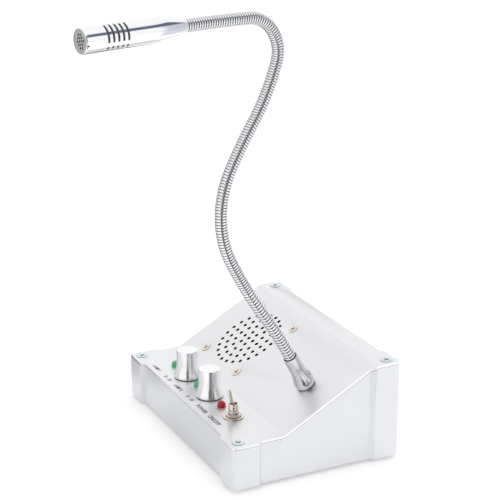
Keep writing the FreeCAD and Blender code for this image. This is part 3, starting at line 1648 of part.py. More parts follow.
def export(pieces):
    """Writes each sub-part to its own file."""
    os.makedirs("parts", exist_ok=True)
    for piece in pieces:
        piece.Shape.exportStep(f"parts/{piece.Label}.step")
        print(f"{piece.Label}: {len(piece.Shape.Solids)} solid, {piece.Shape.Volume:.1f} mm3")


parts = build()
check(parts)
export(parts)
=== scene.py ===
"""The finished look of a counter intercom: brushed cover, lacquered walls, knobs, lamps, switch, grille,
and a microphone on a chromed flexible neck. Lengths in the sections are millimetres unless said otherwise.
"""

import math

import bmesh
import bpy
from mathutils import Matrix, Vector
from mathutils.bvhtree import BVHTree


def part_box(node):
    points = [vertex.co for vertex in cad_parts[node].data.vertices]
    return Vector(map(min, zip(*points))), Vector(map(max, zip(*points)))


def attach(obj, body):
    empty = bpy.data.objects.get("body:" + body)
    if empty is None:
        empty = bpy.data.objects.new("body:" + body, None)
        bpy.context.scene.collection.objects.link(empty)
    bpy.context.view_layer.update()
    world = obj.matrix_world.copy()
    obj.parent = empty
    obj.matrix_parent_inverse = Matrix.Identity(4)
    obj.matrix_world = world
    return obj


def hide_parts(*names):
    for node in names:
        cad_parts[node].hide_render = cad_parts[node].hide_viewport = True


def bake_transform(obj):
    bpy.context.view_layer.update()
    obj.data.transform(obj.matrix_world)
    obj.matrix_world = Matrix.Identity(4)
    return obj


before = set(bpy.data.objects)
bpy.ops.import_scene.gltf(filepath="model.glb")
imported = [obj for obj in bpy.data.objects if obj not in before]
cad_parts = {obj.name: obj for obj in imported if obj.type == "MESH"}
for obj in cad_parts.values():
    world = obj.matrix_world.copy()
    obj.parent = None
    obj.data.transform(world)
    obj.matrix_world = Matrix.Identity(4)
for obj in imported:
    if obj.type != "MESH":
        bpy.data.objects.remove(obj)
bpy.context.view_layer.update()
MM = 0.001


# Walls and corner posts: one thin-walled aluminium casting with a post at each corner, sprayed with
# a fine silver lacquer. The cover and the floor plate screw into the posts.

def add(tree, kind, inputs=None, **settings):
    """A node in a tree, with its settings, and its inputs given as values or as sockets to link."""
    item = tree.nodes.new(kind)
    for name, value in settings.items():
        setattr(item, name, value)
    for key, value in (inputs or {}).items():
        if isinstance(value, bpy.types.NodeSocket):
            tree.links.new(value, item.inputs[key])
        else:
            item.inputs[key].default_value = value
    return item


def finish_named(name, colour, metal, rough):
    """A new material; returns it with its tree and its surface shader."""
    material = bpy.data.materials.new(name)
    material.use_nodes = True
    shader = material.node_tree.nodes["Principled BSDF"]
    shader.inputs["Base Color"].default_value = (*colour, 1)
    shader.inputs["Metallic"].default_value = metal
    shader.inputs["Roughness"].default_value = rough
    return material, material.node_tree, shader


def own_place(tree):
    """The piece's own coordinates."""
    return add(tree, "ShaderNodeTexCoord").outputs["Object"]


def grain(tree, scale, detail=3.0):
    """A noise pattern over the piece's own coordinates, stretched by three scales per metre."""
    stretch = add(tree, "ShaderNodeMapping", {"Vector": own_place(tree), "Scale": scale})
    noise = add(tree, "ShaderNodeTexNoise", {
        "Vector": stretch.outputs["Vector"], "Scale": 1.0, "Detail": detail, "Roughness": 0.55})
    return noise.outputs["Fac"]


def spread(tree, value, low, high, start=0.3, end=0.7):
    """Maps the middle of a pattern onto a range."""
    return add(tree, "ShaderNodeMapRange", {
        "Value": value, "From Min": start, "From Max": end, "To Min": low, "To Max": high}).outputs["Result"]


def tint(tree, value, dark, light):
    """A colour between two, by a value from 0 to 1."""
    mix = add(tree, "ShaderNodeMix", {"Factor": value}, data_type="RGBA")
    mix.inputs[6].default_value = (*dark, 1)
    mix.inputs[7].default_value = (*light, 1)
    return mix.outputs[2]


def painted_shade_in_joints(tree, colour, reach, depth, closed=0.25, open_=0.8):
    """Paints shade into a colour: darkens it where ambient occlusion finds joints and corners up to a reach
    wide.
    """
    open_sky = add(tree, "ShaderNodeAmbientOcclusion", {"Distance": reach * MM}, samples=8)
    kept = spread(tree, open_sky.outputs["AO"], 1 - depth, 1, closed, open_)
    return add(tree, "ShaderNodeVectorMath", {0: colour, 3: kept}, operation="SCALE").outputs[0]


def coloured(tree, shader, value, dark, light, painted_joint_shade=None):
    """Gives a surface a colour between two by a pattern, with shade painted into its joints where it is asked
    for.
    """
    shown = tint(tree, value, dark, light)
    if painted_joint_shade:
        shown = painted_shade_in_joints(tree, shown, *painted_joint_shade)
    tree.links.new(shown, shader.inputs["Base Color"])


def glossed(tree, shader, value, low, high, *ends):
    """Gives a surface a roughness between two by a pattern."""
    tree.links.new(spread(tree, value, low, high, *ends), shader.inputs["Roughness"])


def relief(tree, shader, height, depth):
    """Raises a pattern by a depth in millimetres."""
    bump = add(tree, "ShaderNodeBump", {"Height": height, "Distance": depth * MM})
    tree.links.new(bump.outputs["Normal"], shader.inputs["Normal"])


def darker(colour, share):
    """A colour less a share of its light."""
    return [part * (1 - share) for part in colour]


def speckled(name, colour, metal, rough, scale=900, share=0.05, depth=0.004, painted_joint_shade=None):
    """An even finish with a fine grain in its colour, its gloss and its surface, and shade painted into its
    joints where asked.
    """
    material, tree, shader = finish_named(name, colour, metal, rough)
    noise = grain(tree, (scale,) * 3)
    light = [min(1, part * (1 + share)) for part in colour]
    coloured(tree, shader, spread(tree, noise, 0, 1), darker(colour, share), light, painted_joint_shade)
    glossed(tree, shader, noise, rough - GLOSS_SPREAD, rough + GLOSS_SPREAD)
    relief(tree, shader, noise, depth)
    return material


def joined_copy(node):
    """A copy of a node's mesh with its loose triangles joined and its flat faces made whole."""
    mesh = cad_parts[node].data.copy()
    shape = bmesh.new()
    shape.from_mesh(mesh)
    bmesh.ops.remove_doubles(shape, verts=shape.verts, dist=WELD * MM)
    bmesh.ops.dissolve_limit(
        shape, angle_limit=math.radians(FLAT_WITHIN), verts=shape.verts, edges=shape.edges)
    shape.to_mesh(mesh)
    shape.free()
    return mesh


def linked(name, data):
    """A new object in the scene."""
    item = bpy.data.objects.new(name, data)
    bpy.context.collection.objects.link(item)
    return item


def as_object(name, mesh, material):
    """An object for a mesh, with one material."""
    mesh.materials.clear()
    mesh.materials.append(material)
    return linked(name, mesh)


def plain_mesh(item):
    """The mesh that an object shows."""
    return bpy.data.meshes.new_from_object(item.evaluated_get(bpy.context.evaluated_depsgraph_get()))


def keep_shown(item):
    """Turns the result of an object's modifiers into its mesh."""
    mesh = plain_mesh(item)
    item.modifiers.clear()
    item.data = mesh


def changed(item, kind, **settings):
    """Applies a modifier with its settings to a piece at once."""
    modifier = item.modifiers.new("change", kind)
    for name, value in settings.items():
        setattr(modifier, name, value)
    keep_shown(item)


def smooth(mesh, angle):
    """Smooth shading, with the edges sharper than an angle left sharp."""
    mesh.polygons.foreach_set("use_smooth", [True] * len(mesh.polygons))
    mesh.set_sharp_from_angle(angle=math.radians(angle))


def broken_edges(item, width):
    """Breaks every sharp edge of a piece with a small round."""
    smooth(item.data, SMOOTH_WITHIN)
    changed(item, "BEVEL", width=width * MM, segments=2, limit_method="ANGLE",
            angle_limit=math.radians(SHARP_FROM), harden_normals=True, miter_outer="MITER_ARC")


def put(item, body, slot, *nodes):
    """Sets a finished piece on its body in the place of CAD nodes."""
    if nodes:
        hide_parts(*nodes)
    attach(item, body)


def finished(name, node, material, edge, slot):
    """A piece of the unit with the mesh of a CAD node, its edges broken, in the node's place."""
    item = as_object(name, joined_copy(node), material)
    broken_edges(item, edge)
    put(item, "unit", slot, node)
    return item


GLOSS_SPREAD = 0.06
WELD = 0.002
FLAT_WITHIN = 0.4
SMOOTH_WITHIN = 60
SHARP_FROM = 32
# The silver lacquer has shade painted into its corners, such as the dark line beside each post.
lacquer = speckled(
    "silver_lacquer", (0.825, 0.835, 0.86), 0.3, 0.34, scale=2600, share=0.03, painted_joint_shade=(1.2, 0.45, 0.4, 0.93))
walls = finished("walls", "housing", lacquer, 0.42, "housing_silver")


# Cover: one sheet of 1.5 mm aluminium, bent along two lines, brushed from side to side, then drilled
# for the grille, the controls and the neck. Its sawn edge is left bright.

def sum_of(tree, kind, a, b=0.0):
    """The result of a sum on two values."""
    return add(tree, "ShaderNodeMath", {0: a, 1: b}, operation=kind).outputs["Value"]


def vector_of(tree, x=0.0, y=0.0, z=0.0):
    """A vector of three values."""
    return add(tree, "ShaderNodeCombineXYZ", {"X": x, "Y": y, "Z": z}).outputs["Vector"]


def drawn_out(tree, shader, stretch, tangent, turn=0.0):
    """Draws the gloss of a surface out along or across a direction."""
    shader.inputs["Anisotropic"].default_value = stretch
    shader.inputs["Anisotropic Rotation"].default_value = turn
    tree.links.new(tangent, shader.inputs["Tangent"])


def brushed(name, colour, rough, along=(6, 1500, 1500), share=0.05, depth=0.006, stretch=0.0, painted_joint_shade=None):
    """Brushed metal: fine scratches along X under a few long, broad streaks, a gloss drawn out
    across the scratches, and shade painted into its joints where it is asked for."""
    material, tree, shader = finish_named(name, colour, 1.0, rough)
    fine = grain(tree, along, detail=4)
    broad = grain(tree, (3, 160, 160), detail=2)
    half = sum_of(tree, "MULTIPLY", sum_of(tree, "ADD", fine, broad), 0.5)
    coloured(tree, shader, spread(tree, half, 0, 1, 0.36, 0.64), darker(colour, share), colour, painted_joint_shade)
    glossed(tree, shader, fine, rough - 0.04, rough + 0.05)
    relief(tree, shader, fine, depth)
    if stretch:
        drawn_out(tree, shader, stretch, vector_of(tree, y=1.0))
    return material


def refinish(item, material, chosen):
    """Gives a second finish to the faces of a piece that a test chooses."""
    item.data.materials.append(material)
    for face in item.data.polygons:
        if chosen(face):
            face.material_index = len(item.data.materials) - 1


def sawn(face):
    """Whether a face of the cover is its sawn edge: steep, and by the outline."""
    beside = min(abs(face.center[axis] - corner[axis]) for axis in (0, 1) for corner in cover_corners)
    return abs(face.normal.z) < EDGE_STEEPNESS and beside < EDGE_REACH * MM


def under_cover(face):
    """Whether a face of the walls is a slope of the open gap close under the cover, where shade is painted.
    """
    start = face.center + face.normal * 0.01 * MM
    return JOINT_FROM < face.normal.z < JOINT_TO and cover_above.ray_cast(
        start, Vector((0, 0, 1)), JOINT_WIDTH * MM)[0]


FRONT_WALL, REAR_WALL = 26.0, 57.8
FRONT_BEND, REAR_BEND = 20.1, 37.9
SLOPE = math.atan2(REAR_WALL - FRONT_WALL, FRONT_BEND + REAR_BEND)
SLOPE_UP = Vector((0, -math.sin(SLOPE), math.cos(SLOPE)))
EDGE_STEEPNESS, EDGE_REACH = 0.35, 5.0
BORE_STEEPNESS = 0.2
JOINT_WIDTH, JOINT_FROM, JOINT_TO = 0.8, 0.2, 0.97
# The brushed top and its sawn edge have shade painted into their corners.
cover_finish = brushed(
    "brushed_aluminium", (0.885, 0.888, 0.903), 0.4, along=(5, 2200, 2200), share=0.025, depth=0.002,
    stretch=0.5, painted_joint_shade=(0.9, 0.4))
cut_finish = speckled("sawn_edge", (0.90, 0.905, 0.92), 1.0, 0.32, scale=1800, share=0.03, painted_joint_shade=(0.5, 0.8))
# The walls of the holes through the cover are made dark grey and darker still deep down: painted shade for
# the shadow in the holes.
bore_shade_finish = speckled("painted_bore_shade", (0.20, 0.20, 0.205), 1.0, 0.4, scale=1800, painted_joint_shade=(2.5, 0.9))
cover = as_object("cover", joined_copy("top_panel"), cover_finish)
broken_edges(cover, 0.14)
cover_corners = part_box("top_panel")
refinish(cover, cut_finish, sawn)
refinish(cover, bore_shade_finish, lambda face: not sawn(face) and min(
    abs(face.normal.z), abs(face.normal.dot(SLOPE_UP))) < BORE_STEEPNESS)
put(cover, "unit", "panel_aluminium", "top_panel")

# The slopes of the walls' top edge close under the cover get a near-black finish: painted shade for the
# shadow in the open gap.
cover_above = BVHTree.FromPolygons(
    [vert.co for vert in cover.data.vertices], [list(face.vertices) for face in cover.data.polygons])
refinish(walls, speckled("joint_shade", (0.035, 0.035, 0.04), 0.0, 0.9, share=0.2), under_cover)


# Floor: a plate cut from zinc-plated steel sheet and let into a step of the walls, where the floor
# screws hold it. The unit stands on four moulded rubber feet below it.

zinc = speckled("zinc_plate", (0.62, 0.63, 0.65), 1.0, 0.38, scale=350, share=0.12, depth=0.002)
finished("floor_plate", "base_plate", zinc, 0.1, "base_steel")
rubber = speckled("moulded_rubber", (0.035, 0.035, 0.036), 0.0, 0.7, scale=1400, share=0.3, depth=0.02)
finished("feet", "rubber_feet", rubber, 0.2, "feet_rubber")


# Cover screws and floor screws: countersunk steel machine screws with a cross recess, zinc plated,
# driven into the posts until their heads lie flush.

def head_places(node, facing):
    """The middle of the head of each screw of a node, whose heads face one way."""
    mesh = joined_copy(node)
    shape = bmesh.new()
    shape.from_mesh(mesh)
    side = Vector((1, 0, 0))
    up = facing.cross(side)
    left = set(shape.verts)
    places = []
    while left:
        island = [left.pop()]
        for vert in island:
            for edge in vert.link_edges:
                other = edge.other_vert(vert)
                if other in left:
                    left.remove(other)
                    island.append(other)
        spans = [[vert.co.dot(way) for vert in island] for way in (side, up, facing)]
        middle_x, middle_up = ((min(span) + max(span)) / 2 for span in spans[:2])
        places.append(side * middle_x + up * middle_up + facing * max(spans[2]))
    shape.free()
    return sorted(places, key=lambda place: tuple(round(c, 5) for c in place))


def new_tree(name, shapes, values, result):
    """A tree that makes a geometry from geometries, values and a finish; returns it with its inputs."""
    tree = bpy.data.node_groups.new(name, "GeometryNodeTree")
    sockets = [(label, "INPUT", "Geometry") for label in shapes]
    sockets += [(label, "INPUT", "Float") for label in values]
    sockets += [("Finish", "INPUT", "Material"), (result, "OUTPUT", "Geometry")]
    for label, way, kind in sockets:
        tree.interface.new_socket(label, in_out=way, socket_type=f"NodeSocket{kind}")
    return tree, add(tree, "NodeGroupInput").outputs


def end_tree(tree, geometry, finish, result):
    """Ends a tree: instances made real, the finish set, and the result handed out."""
    real = add(tree, "GeometryNodeRealizeInstances", {"Geometry": geometry})
    done = add(tree, "GeometryNodeSetMaterial", {"Geometry": real.outputs["Geometry"], "Material": finish})
    add(tree, "NodeGroupOutput", {result: done.outputs["Geometry"]})


def cross_screws():
    """A tree that sets a countersunk screw with a cross recess on each point, each turned its own way."""
    tree, given = new_tree(
        "cross_screws", ("Heads",), ("Head", "Sink", "Shank", "Length", "Slot Reach", "Slot Width",
                                     "Slot Depth", "Tilt"), "Screws")

    def lowered(mesh, depth, share):
        lift = vector_of(tree, z=sum_of(tree, "MULTIPLY", depth, -share))
        return add(tree, "GeometryNodeTransform", {"Geometry": mesh, "Translation": lift})

    cone = add(tree, "GeometryNodeMeshCone", {
        "Vertices": 40, "Radius Top": given["Head"], "Radius Bottom": given["Shank"], "Depth": given["Sink"]})
    rod = add(tree, "GeometryNodeMeshCylinder", {
        "Vertices": 40, "Radius": given["Shank"], "Depth": given["Length"]})
    whole = add(tree, "GeometryNodeMeshBoolean", operation="UNION", solver="EXACT")
    slots = add(tree, "GeometryNodeMeshBoolean", operation="DIFFERENCE", solver="EXACT")
    for part in (lowered(cone.outputs["Mesh"], given["Sink"], 1.0),
                 lowered(rod.outputs["Mesh"], given["Length"], 0.5)):
        tree.links.new(part.outputs["Geometry"], whole.inputs["Mesh 2"])
    for wide, deep in (("Slot Reach", "Slot Width"), ("Slot Width", "Slot Reach")):
        arm = add(tree, "GeometryNodeMeshCube", {
            "Size": vector_of(tree, given[wide], given[deep], given["Slot Depth"])})
        tree.links.new(arm.outputs["Mesh"], slots.inputs["Mesh 2"])
    tree.links.new(whole.outputs["Mesh"], slots.inputs["Mesh 1"])
    spin = add(tree, "FunctionNodeRandomValue", data_type="FLOAT")
    spin.inputs["Min"].default_value = 0.0
    spin.inputs[3].default_value = math.pi
    spin.inputs["Seed"].default_value = 7
    spots = add(tree, "GeometryNodeMeshToPoints", {"Mesh": given["Heads"]})
    placed = add(tree, "GeometryNodeInstanceOnPoints", {
        "Points": spots.outputs["Points"], "Instance": slots.outputs["Mesh"],
        "Rotation": vector_of(tree, x=given["Tilt"])})
    turned = add(tree, "GeometryNodeRotateInstances", {
        "Instances": placed.outputs["Instances"], "Rotation": vector_of(tree, z=spin.outputs[1]),
        "Local Space": True})
    end_tree(tree, turned.outputs["Instances"], given["Finish"], "Screws")
    return tree


def run_tree(item, tree, values):
    """Applies a tree to an object with named inputs, and keeps the plain mesh."""
    modifier = item.modifiers.new("making", "NODES")
    modifier.node_group = tree
    for socket in tree.interface.items_tree:
        if socket.in_out == "INPUT" and socket.name in values:
            modifier[socket.identifier] = values[socket.name]
    keep_shown(item)


def set_screws(name, node, facing, sizes, cross, finish, slot):
    """Screws in the place of a CAD node: head radius, shank radius and length; reach, width and depth
    of the cross."""
    points = bpy.data.meshes.new(name)
    points.from_pydata([place + facing * HEAD_PROUD * MM for place in head_places(node, facing)], [], [])
    screws = as_object(name, points, finish)
    head, shank, length = (size * MM for size in sizes)
    reach, width, depth = (size * MM for size in cross)
    run_tree(screws, screw_tree, {
        "Head": head, "Sink": HEAD_SINK * MM, "Shank": shank, "Length": length, "Slot Reach": reach,
        "Slot Width": width, "Slot Depth": depth * 2, "Tilt": math.atan2(-facing.y, facing.z),
        "Finish": finish})
    broken_edges(screws, 0.1)
    put(screws, "unit", slot, node)


COVER_SHEET = 1.5
HEAD_SINK = COVER_SHEET * 0.92
HEAD_PROUD = 0.15
screw_tree = cross_screws()
# The zinc-plated screws have shade painted into their cross recesses and round their heads.
screw_zinc = speckled(
    "zinc_screw", (0.72, 0.80, 0.84), 1.0, 0.2, scale=700, share=0.12, depth=0.003,
    painted_joint_shade=(0.6, 0.75, 0.2, 0.8))
set_screws("cover_screws", "panel_screws", Vector((0, 0, 1)), (3.55, 2.0, 12.0), (3.9, 0.62, 0.75),
           screw_zinc, "screw_zinc")
set_screws("floor_screws", "base_screws", Vector((0, 0, -1)), (2.8, 1.5, 8.0), (3.2, 0.6, 1.0),
           screw_zinc, "screw_zinc")


# Loudspeaker screws: four nickel-plated countersunk screws round the grille, with their nuts inside.
# They hold the basket of the loudspeaker against the back of the cover.

# The nickel-plated screws and nuts have shade painted into their cross recesses and corners.
nickel = speckled(
    "nickel_plate", (0.80, 0.73, 0.65), 1.0, 0.2, scale=700, share=0.1, depth=0.003,
    painted_joint_shade=(0.6, 0.75, 0.2, 0.8))
set_screws("loudspeaker_screws", "speaker_screws", SLOPE_UP, (3.05, 1.5, 10.0), (3.3, 0.55, 0.6),
           nickel, "screw_nickel")
finished("loudspeaker_nuts", "speaker_nuts", nickel, 0.1, "screw_nickel")


# Grille cloth: black woven cloth glued behind the holes of the cover. It keeps dust off the cone and
# hides it from outside.

def woven(name, colour, pitch):
    """A plain weave: two sets of threads at right angles over the piece's coordinates."""
    material, tree, shader = finish_named(name, colour, 0.0, 0.85)
    threads = [add(tree, "ShaderNodeTexWave", {
        "Vector": own_place(tree), "Scale": 1 / (pitch * MM * 3.14), "Distortion": 0.4},
        wave_type="BANDS", bands_direction=direction).outputs["Fac"] for direction in ("X", "Y")]
    weave = sum_of(tree, "MULTIPLY", *threads)
    coloured(tree, shader, weave, colour, [part * 2.2 for part in colour])
    relief(tree, shader, weave, 0.1)
    return material


def dress(material, *nodes):
    """Gives CAD nodes their finish."""
    for node in nodes:
        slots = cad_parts[node].data.materials
        slots.clear()
        slots.append(material)


dress(woven("grille_weave", (0.008, 0.008, 0.009), 0.5), "grille_cloth")


# Loudspeaker: a pressed steel basket with a ring magnet between two steel plates, a voice coil in
# its gap and a paper cone. It hangs behind the cover on the four screws.

dress(speckled("pressed_steel", (0.56, 0.57, 0.58), 1.0, 0.36, scale=500, share=0.08, depth=0.003),
      "speaker_frame", "speaker_front_plate", "speaker_yoke")
dress(speckled("ferrite", (0.05, 0.05, 0.055), 0.0, 0.6, scale=800, share=0.3, depth=0.02),
      "speaker_magnet")
paper = speckled("cone_paper", (0.04, 0.04, 0.045), 0.0, 0.9, scale=1800, share=0.4, depth=0.05)
dress(paper, "speaker_cone")
dress(speckled("coil_wire", (0.60, 0.26, 0.10), 1.0, 0.3, scale=4000, share=0.2, depth=0.02), "voice_coil")


# Circuit boards: glass-epoxy with green solder mask, on turned brass spacers, with the amplifier
# chip, its finned aluminium heat sink and three electrolytic capacitors.

dress(speckled("solder_mask", (0.02, 0.12, 0.05), 0.0, 0.35, scale=300, share=0.5, depth=0.01),
      "control_board", "main_board")
dress(speckled("turned_brass", (0.70, 0.52, 0.24), 1.0, 0.3, scale=600, share=0.1), "board_spacers")
dress(speckled("moulded_epoxy", (0.02, 0.02, 0.022), 0.0, 0.5, scale=1500, share=0.3), "amplifier_chip")
dress(brushed("extruded_fins", (0.62, 0.63, 0.64), 0.4), "heat_sink")
dress(speckled("capacitor_sleeve", (0.02, 0.025, 0.06), 0.0, 0.25, scale=400, share=0.2), "capacitors")
dress(speckled("tinned_wire", (0.70, 0.70, 0.69), 1.0, 0.3, share=0.1), "lamp_legs")


# Volume controls: two rotary controls in pressed cans, held to the cover by a washer and a nut on
# their die-cast bushings, with ground steel shafts.

dress(speckled("pressed_can", (0.60, 0.60, 0.61), 1.0, 0.34, scale=600, share=0.08), "volume_pots")
dress(nickel, "pot_washers", "pot_nuts")
dress(speckled("ground_shaft", (0.66, 0.67, 0.68), 1.0, 0.2, scale=1200, share=0.06),
      "left_shaft", "right_shaft")
black_steel = speckled("blackened_steel", (0.06, 0.06, 0.062), 0.8, 0.4, share=0.2)
dress(black_steel, "left_knob_screw", "right_knob_screw")


# Knobs: turned from aluminium bar, with a flared foot and a flat top, satin on the side and cut
# bright by the tool on the top. A grub screw at the back holds each on its shaft.

def vector_sum(tree, kind, a, b=(0, 0, 0), result="Vector"):
    """The result of a sum on two vectors."""
    return add(tree, "ShaderNodeVectorMath", {0: a, 1: b}, operation=kind).outputs[result]


def turned_metal(name, colour, rough, pitch, centre, painted_joint_shade):
    """Turned metal: fine tool lines round an upright axis, with the gloss drawn out across them and shade
    painted into its joints.
    """
    material, tree, shader = finish_named(name, colour, 1.0, rough)
    centred = add(tree, "ShaderNodeMapping", {
        "Vector": own_place(tree), "Location": (-centre[0], -centre[1], 0)})
    apart = add(tree, "ShaderNodeSeparateXYZ", {"Vector": centred.outputs["Vector"]}).outputs
    reach = vector_sum(tree, "LENGTH", vector_of(tree, apart["X"], apart["Y"]), result="Value")
    lines = add(tree, "ShaderNodeTexNoise", {
        "W": sum_of(tree, "SUBTRACT", reach, apart["Z"]), "Scale": 1 / (pitch * MM), "Detail": 2.0},
        noise_dimensions="1D").outputs["Fac"]
    coloured(tree, shader, spread(tree, lines, 0, 1), darker(colour, 0.05), colour, painted_joint_shade)
    tangent = add(tree, "ShaderNodeTangent", direction_type="RADIAL", axis="Z")
    drawn_out(tree, shader, 0.96, tangent.outputs["Tangent"], QUARTER_TURN)
    relief(tree, shader, lines, 0.001)
    return material


def arc_radius(rise, drift):
    """The radius of an arc that sets out upwards and drifts aside over a rise."""
    return (rise ** 2 + drift ** 2) / (2 * drift)


def rounded(outline, radii):
    """An outline of radius and height with chosen corners rounded."""
    points = []
    for i, (r, z) in enumerate(outline):
        size = radii.get(i, 0)
        here = Vector((r, z))
        if not size:
            points.append(here)
            continue
        before = (Vector(outline[i - 1]) - here).normalized()
        after = (Vector(outline[(i + 1) % len(outline)]) - here).normalized()
        half = before.angle(after) / 2
        reach = size / math.tan(half)
        centre = here + (before + after).normalized() * (size / math.sin(half))
        a, b = here + before * reach - centre, here + after * reach - centre
        turn = a.angle_signed(b) / CORNER_STEPS
        for step in range(CORNER_STEPS + 1):
            points.append(centre + Matrix.Rotation(-turn * step, 2) @ a)
    return points


def mesh_of(shape, name):
    """A new mesh for a shape, which isn't needed after it."""
    mesh = bpy.data.meshes.new(name)
    shape.to_mesh(mesh)
    shape.free()
    return mesh


def lathe(name, outline, steps=96):
    """A closed turned mesh about Z, from points of radius and height in millimetres."""
    shape = bmesh.new()
    rings = []
    for r, z in outline:
        if r < 1e-5:
            rings.append([shape.verts.new((0, 0, z * MM))])
            continue
        ring = []
        for step in range(steps):
            angle = 2 * math.pi * step / steps
            ring.append(shape.verts.new((r * MM * math.cos(angle), r * MM * math.sin(angle), z * MM)))
        rings.append(ring)
    pairs = list(zip(rings, rings[1:] + rings[:1]))
    for low, high in pairs:
        if len(low) == 1 and len(high) == 1:
            continue
        for step in range(steps):
            verts = [low[step % len(low)], low[(step + 1) % len(low)],
                     high[(step + 1) % len(high)], high[step % len(high)]]
            shape.faces.new(list(dict.fromkeys(verts)))
    bmesh.ops.recalc_face_normals(shape, faces=shape.faces)
    return mesh_of(shape, name)


def corners(node):
    """The lowest and the highest corner of a node's box."""
    return [Vector(corner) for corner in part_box(node)]


def seat_of(node):
    """The middle of a node's box in plan, at its lowest point."""
    low, high = corners(node)
    return Vector(((low.x + high.x) / 2, (low.y + high.y) / 2, low.z))


def centre_of(node):
    """The middle of a node's box."""
    low, high = corners(node)
    return (low + high) / 2


def cut_away(item, cutter):
    """Takes the space of a cutter out of a piece."""
    changed(item, "BOOLEAN", operation="DIFFERENCE", solver="EXACT", object=cutter)
    bpy.data.objects.remove(cutter)


def drilled(item, seat, outward, depth, height, radius):
    """Bores a round hole through one wall of a piece, from a depth under a seat to a height over it."""
    inner, outer = seat - outward * depth * MM, seat + outward * height * MM
    run = outer - inner
    shape = bmesh.new()
    bmesh.ops.create_cone(
        shape, cap_ends=True, segments=28, radius1=radius * MM, radius2=radius * MM, depth=run.length)
    turn = run.to_track_quat("Z", "Y").to_matrix().to_4x4()
    shape.transform(Matrix.Translation((inner + outer) / 2) @ turn)
    cut_away(item, as_object("drill", mesh_of(shape, "drill"), item.data.materials[0]))


QUARTER_TURN = 0.25
KNOB_HEIGHT = 16.6
KNOB_DROP = 0.35
KNOB_TOP_RADIUS, KNOB_FOOT_RADIUS = 6.45, 8.15
KNOB_FLARE_HEIGHT, KNOB_RIM = 8.4, 1.0
KNOB_HOLLOW_RADIUS, KNOB_HOLLOW_DEPTH = 6.6, 4.2
KNOB_STEPS, CORNER_STEPS = 24, 5
KNOB_SCREW_HOLE = 1.55
KNOB_FACE_LEVEL = 0.9
flare_rise = KNOB_FLARE_HEIGHT - KNOB_RIM
flare_spread = KNOB_FOOT_RADIUS - KNOB_TOP_RADIUS
flare_radius = arc_radius(flare_rise, flare_spread)
flare = []
for step in range(KNOB_STEPS + 1):
    height = KNOB_RIM + flare_rise * step / KNOB_STEPS
    drop = KNOB_FLARE_HEIGHT - height
    flare.append((KNOB_TOP_RADIUS + flare_radius - math.sqrt(flare_radius ** 2 - drop ** 2), height))
knob_outline = [
    (0, KNOB_HOLLOW_DEPTH), (KNOB_HOLLOW_RADIUS, KNOB_HOLLOW_DEPTH), (KNOB_HOLLOW_RADIUS, -KNOB_DROP),
    (KNOB_FOOT_RADIUS, -KNOB_DROP), *flare, (KNOB_TOP_RADIUS, KNOB_HEIGHT), (0, KNOB_HEIGHT)]
knob_face = speckled("knob_face", (0.97, 0.97, 0.975), 1.0, 0.3, scale=2200, share=0.03, depth=0.001)
knob_corners = {3: 0.3, len(knob_outline) - 2: 0.5}
for side in ("left", "right"):
    base = seat_of(f"{side}_knob")
    # Each knob has shade painted into its corners and round the hole for its grub screw.
    finish = turned_metal(f"turned_{side}_knob", (0.97, 0.97, 0.98), 0.24, 0.09, base, (0.6, 0.5))
    knob = as_object(f"{side}_dial", lathe(f"{side}_dial", rounded(knob_outline, knob_corners)), finish)
    knob.data.transform(Matrix.Translation(base))
    seat = centre_of(f"{side}_knob_screw")
    outward = Vector((seat.x - base.x, seat.y - base.y, 0)).normalized()
    drilled(knob, seat, outward, 3, 8, KNOB_SCREW_HOLE)
    refinish(knob, knob_face, lambda face: face.normal.z > KNOB_FACE_LEVEL
             and face.center.z > base.z + KNOB_HEIGHT / 2 * MM)
    smooth(knob.data, 30)
    put(knob, f"{side}_knob", "knob_aluminium", f"{side}_knob")


# Lamps: three 5 mm domed lamps moulded in plastic, two milky green and one clear red, pushed up
# through the cover from below until their flanges meet the sheet.

def lens(name, colour, clear, rough):
    """Moulded lamp plastic, tinted right through."""
    material, tree, shader = finish_named(name, colour, 0.0, rough)
    shader.inputs["Transmission Weight"].default_value = clear
    shader.inputs["IOR"].default_value = 1.5
    shader.inputs["Coat Weight"].default_value = 0.25
    shader.inputs["Coat Roughness"].default_value = 0.05
    coloured(tree, shader, spread(tree, grain(tree, (500,) * 3), 0, 1), darker(colour, 0.14), colour)
    return material


LAMP_RADIUS = 2.5
LAMP_FLANGE, LAMP_FLANGE_DEPTH = 2.9, 1
LAMP_SHOULDER = 2.4
DOME_STEPS = 14
lamp_outline = [
    (0, -LAMP_FLANGE_DEPTH), (LAMP_FLANGE, -LAMP_FLANGE_DEPTH), (LAMP_FLANGE, 0), (LAMP_RADIUS, 0)]
for step in range(DOME_STEPS):
    angle = math.pi / 2 * step / DOME_STEPS
    lamp_outline.append((LAMP_RADIUS * math.cos(angle), LAMP_SHOULDER + LAMP_RADIUS * math.sin(angle)))
lamp_outline.append((0, LAMP_SHOULDER + LAMP_RADIUS))
green_lens = lens("green_lens", (0.10, 0.60, 0.27), 0.1, 0.3)
red_lens = lens("red_lens", (0.50, 0.0, 0.006), 0.15, 0.05)
low, high = corners("green_lamps")
for node, x, glass, label, slot in (
        ("green_lamps", low.x + LAMP_FLANGE * MM, green_lens, "left_green_lamp", "lamp_green"),
        ("green_lamps", high.x - LAMP_FLANGE * MM, green_lens, "middle_green_lamp", "lamp_green"),
        ("red_lamp", seat_of("red_lamp").x, red_lens, "right_red_lamp", "lamp_red")):
    lamp = as_object(label, lathe(label, lamp_outline, steps=48), glass)
    smooth(lamp.data, 40)
    lamp.data.transform(Matrix.Translation((x, (low.y + high.y) / 2, low.z + LAMP_FLANGE_DEPTH * MM)))
    put(lamp, "unit", slot, node)


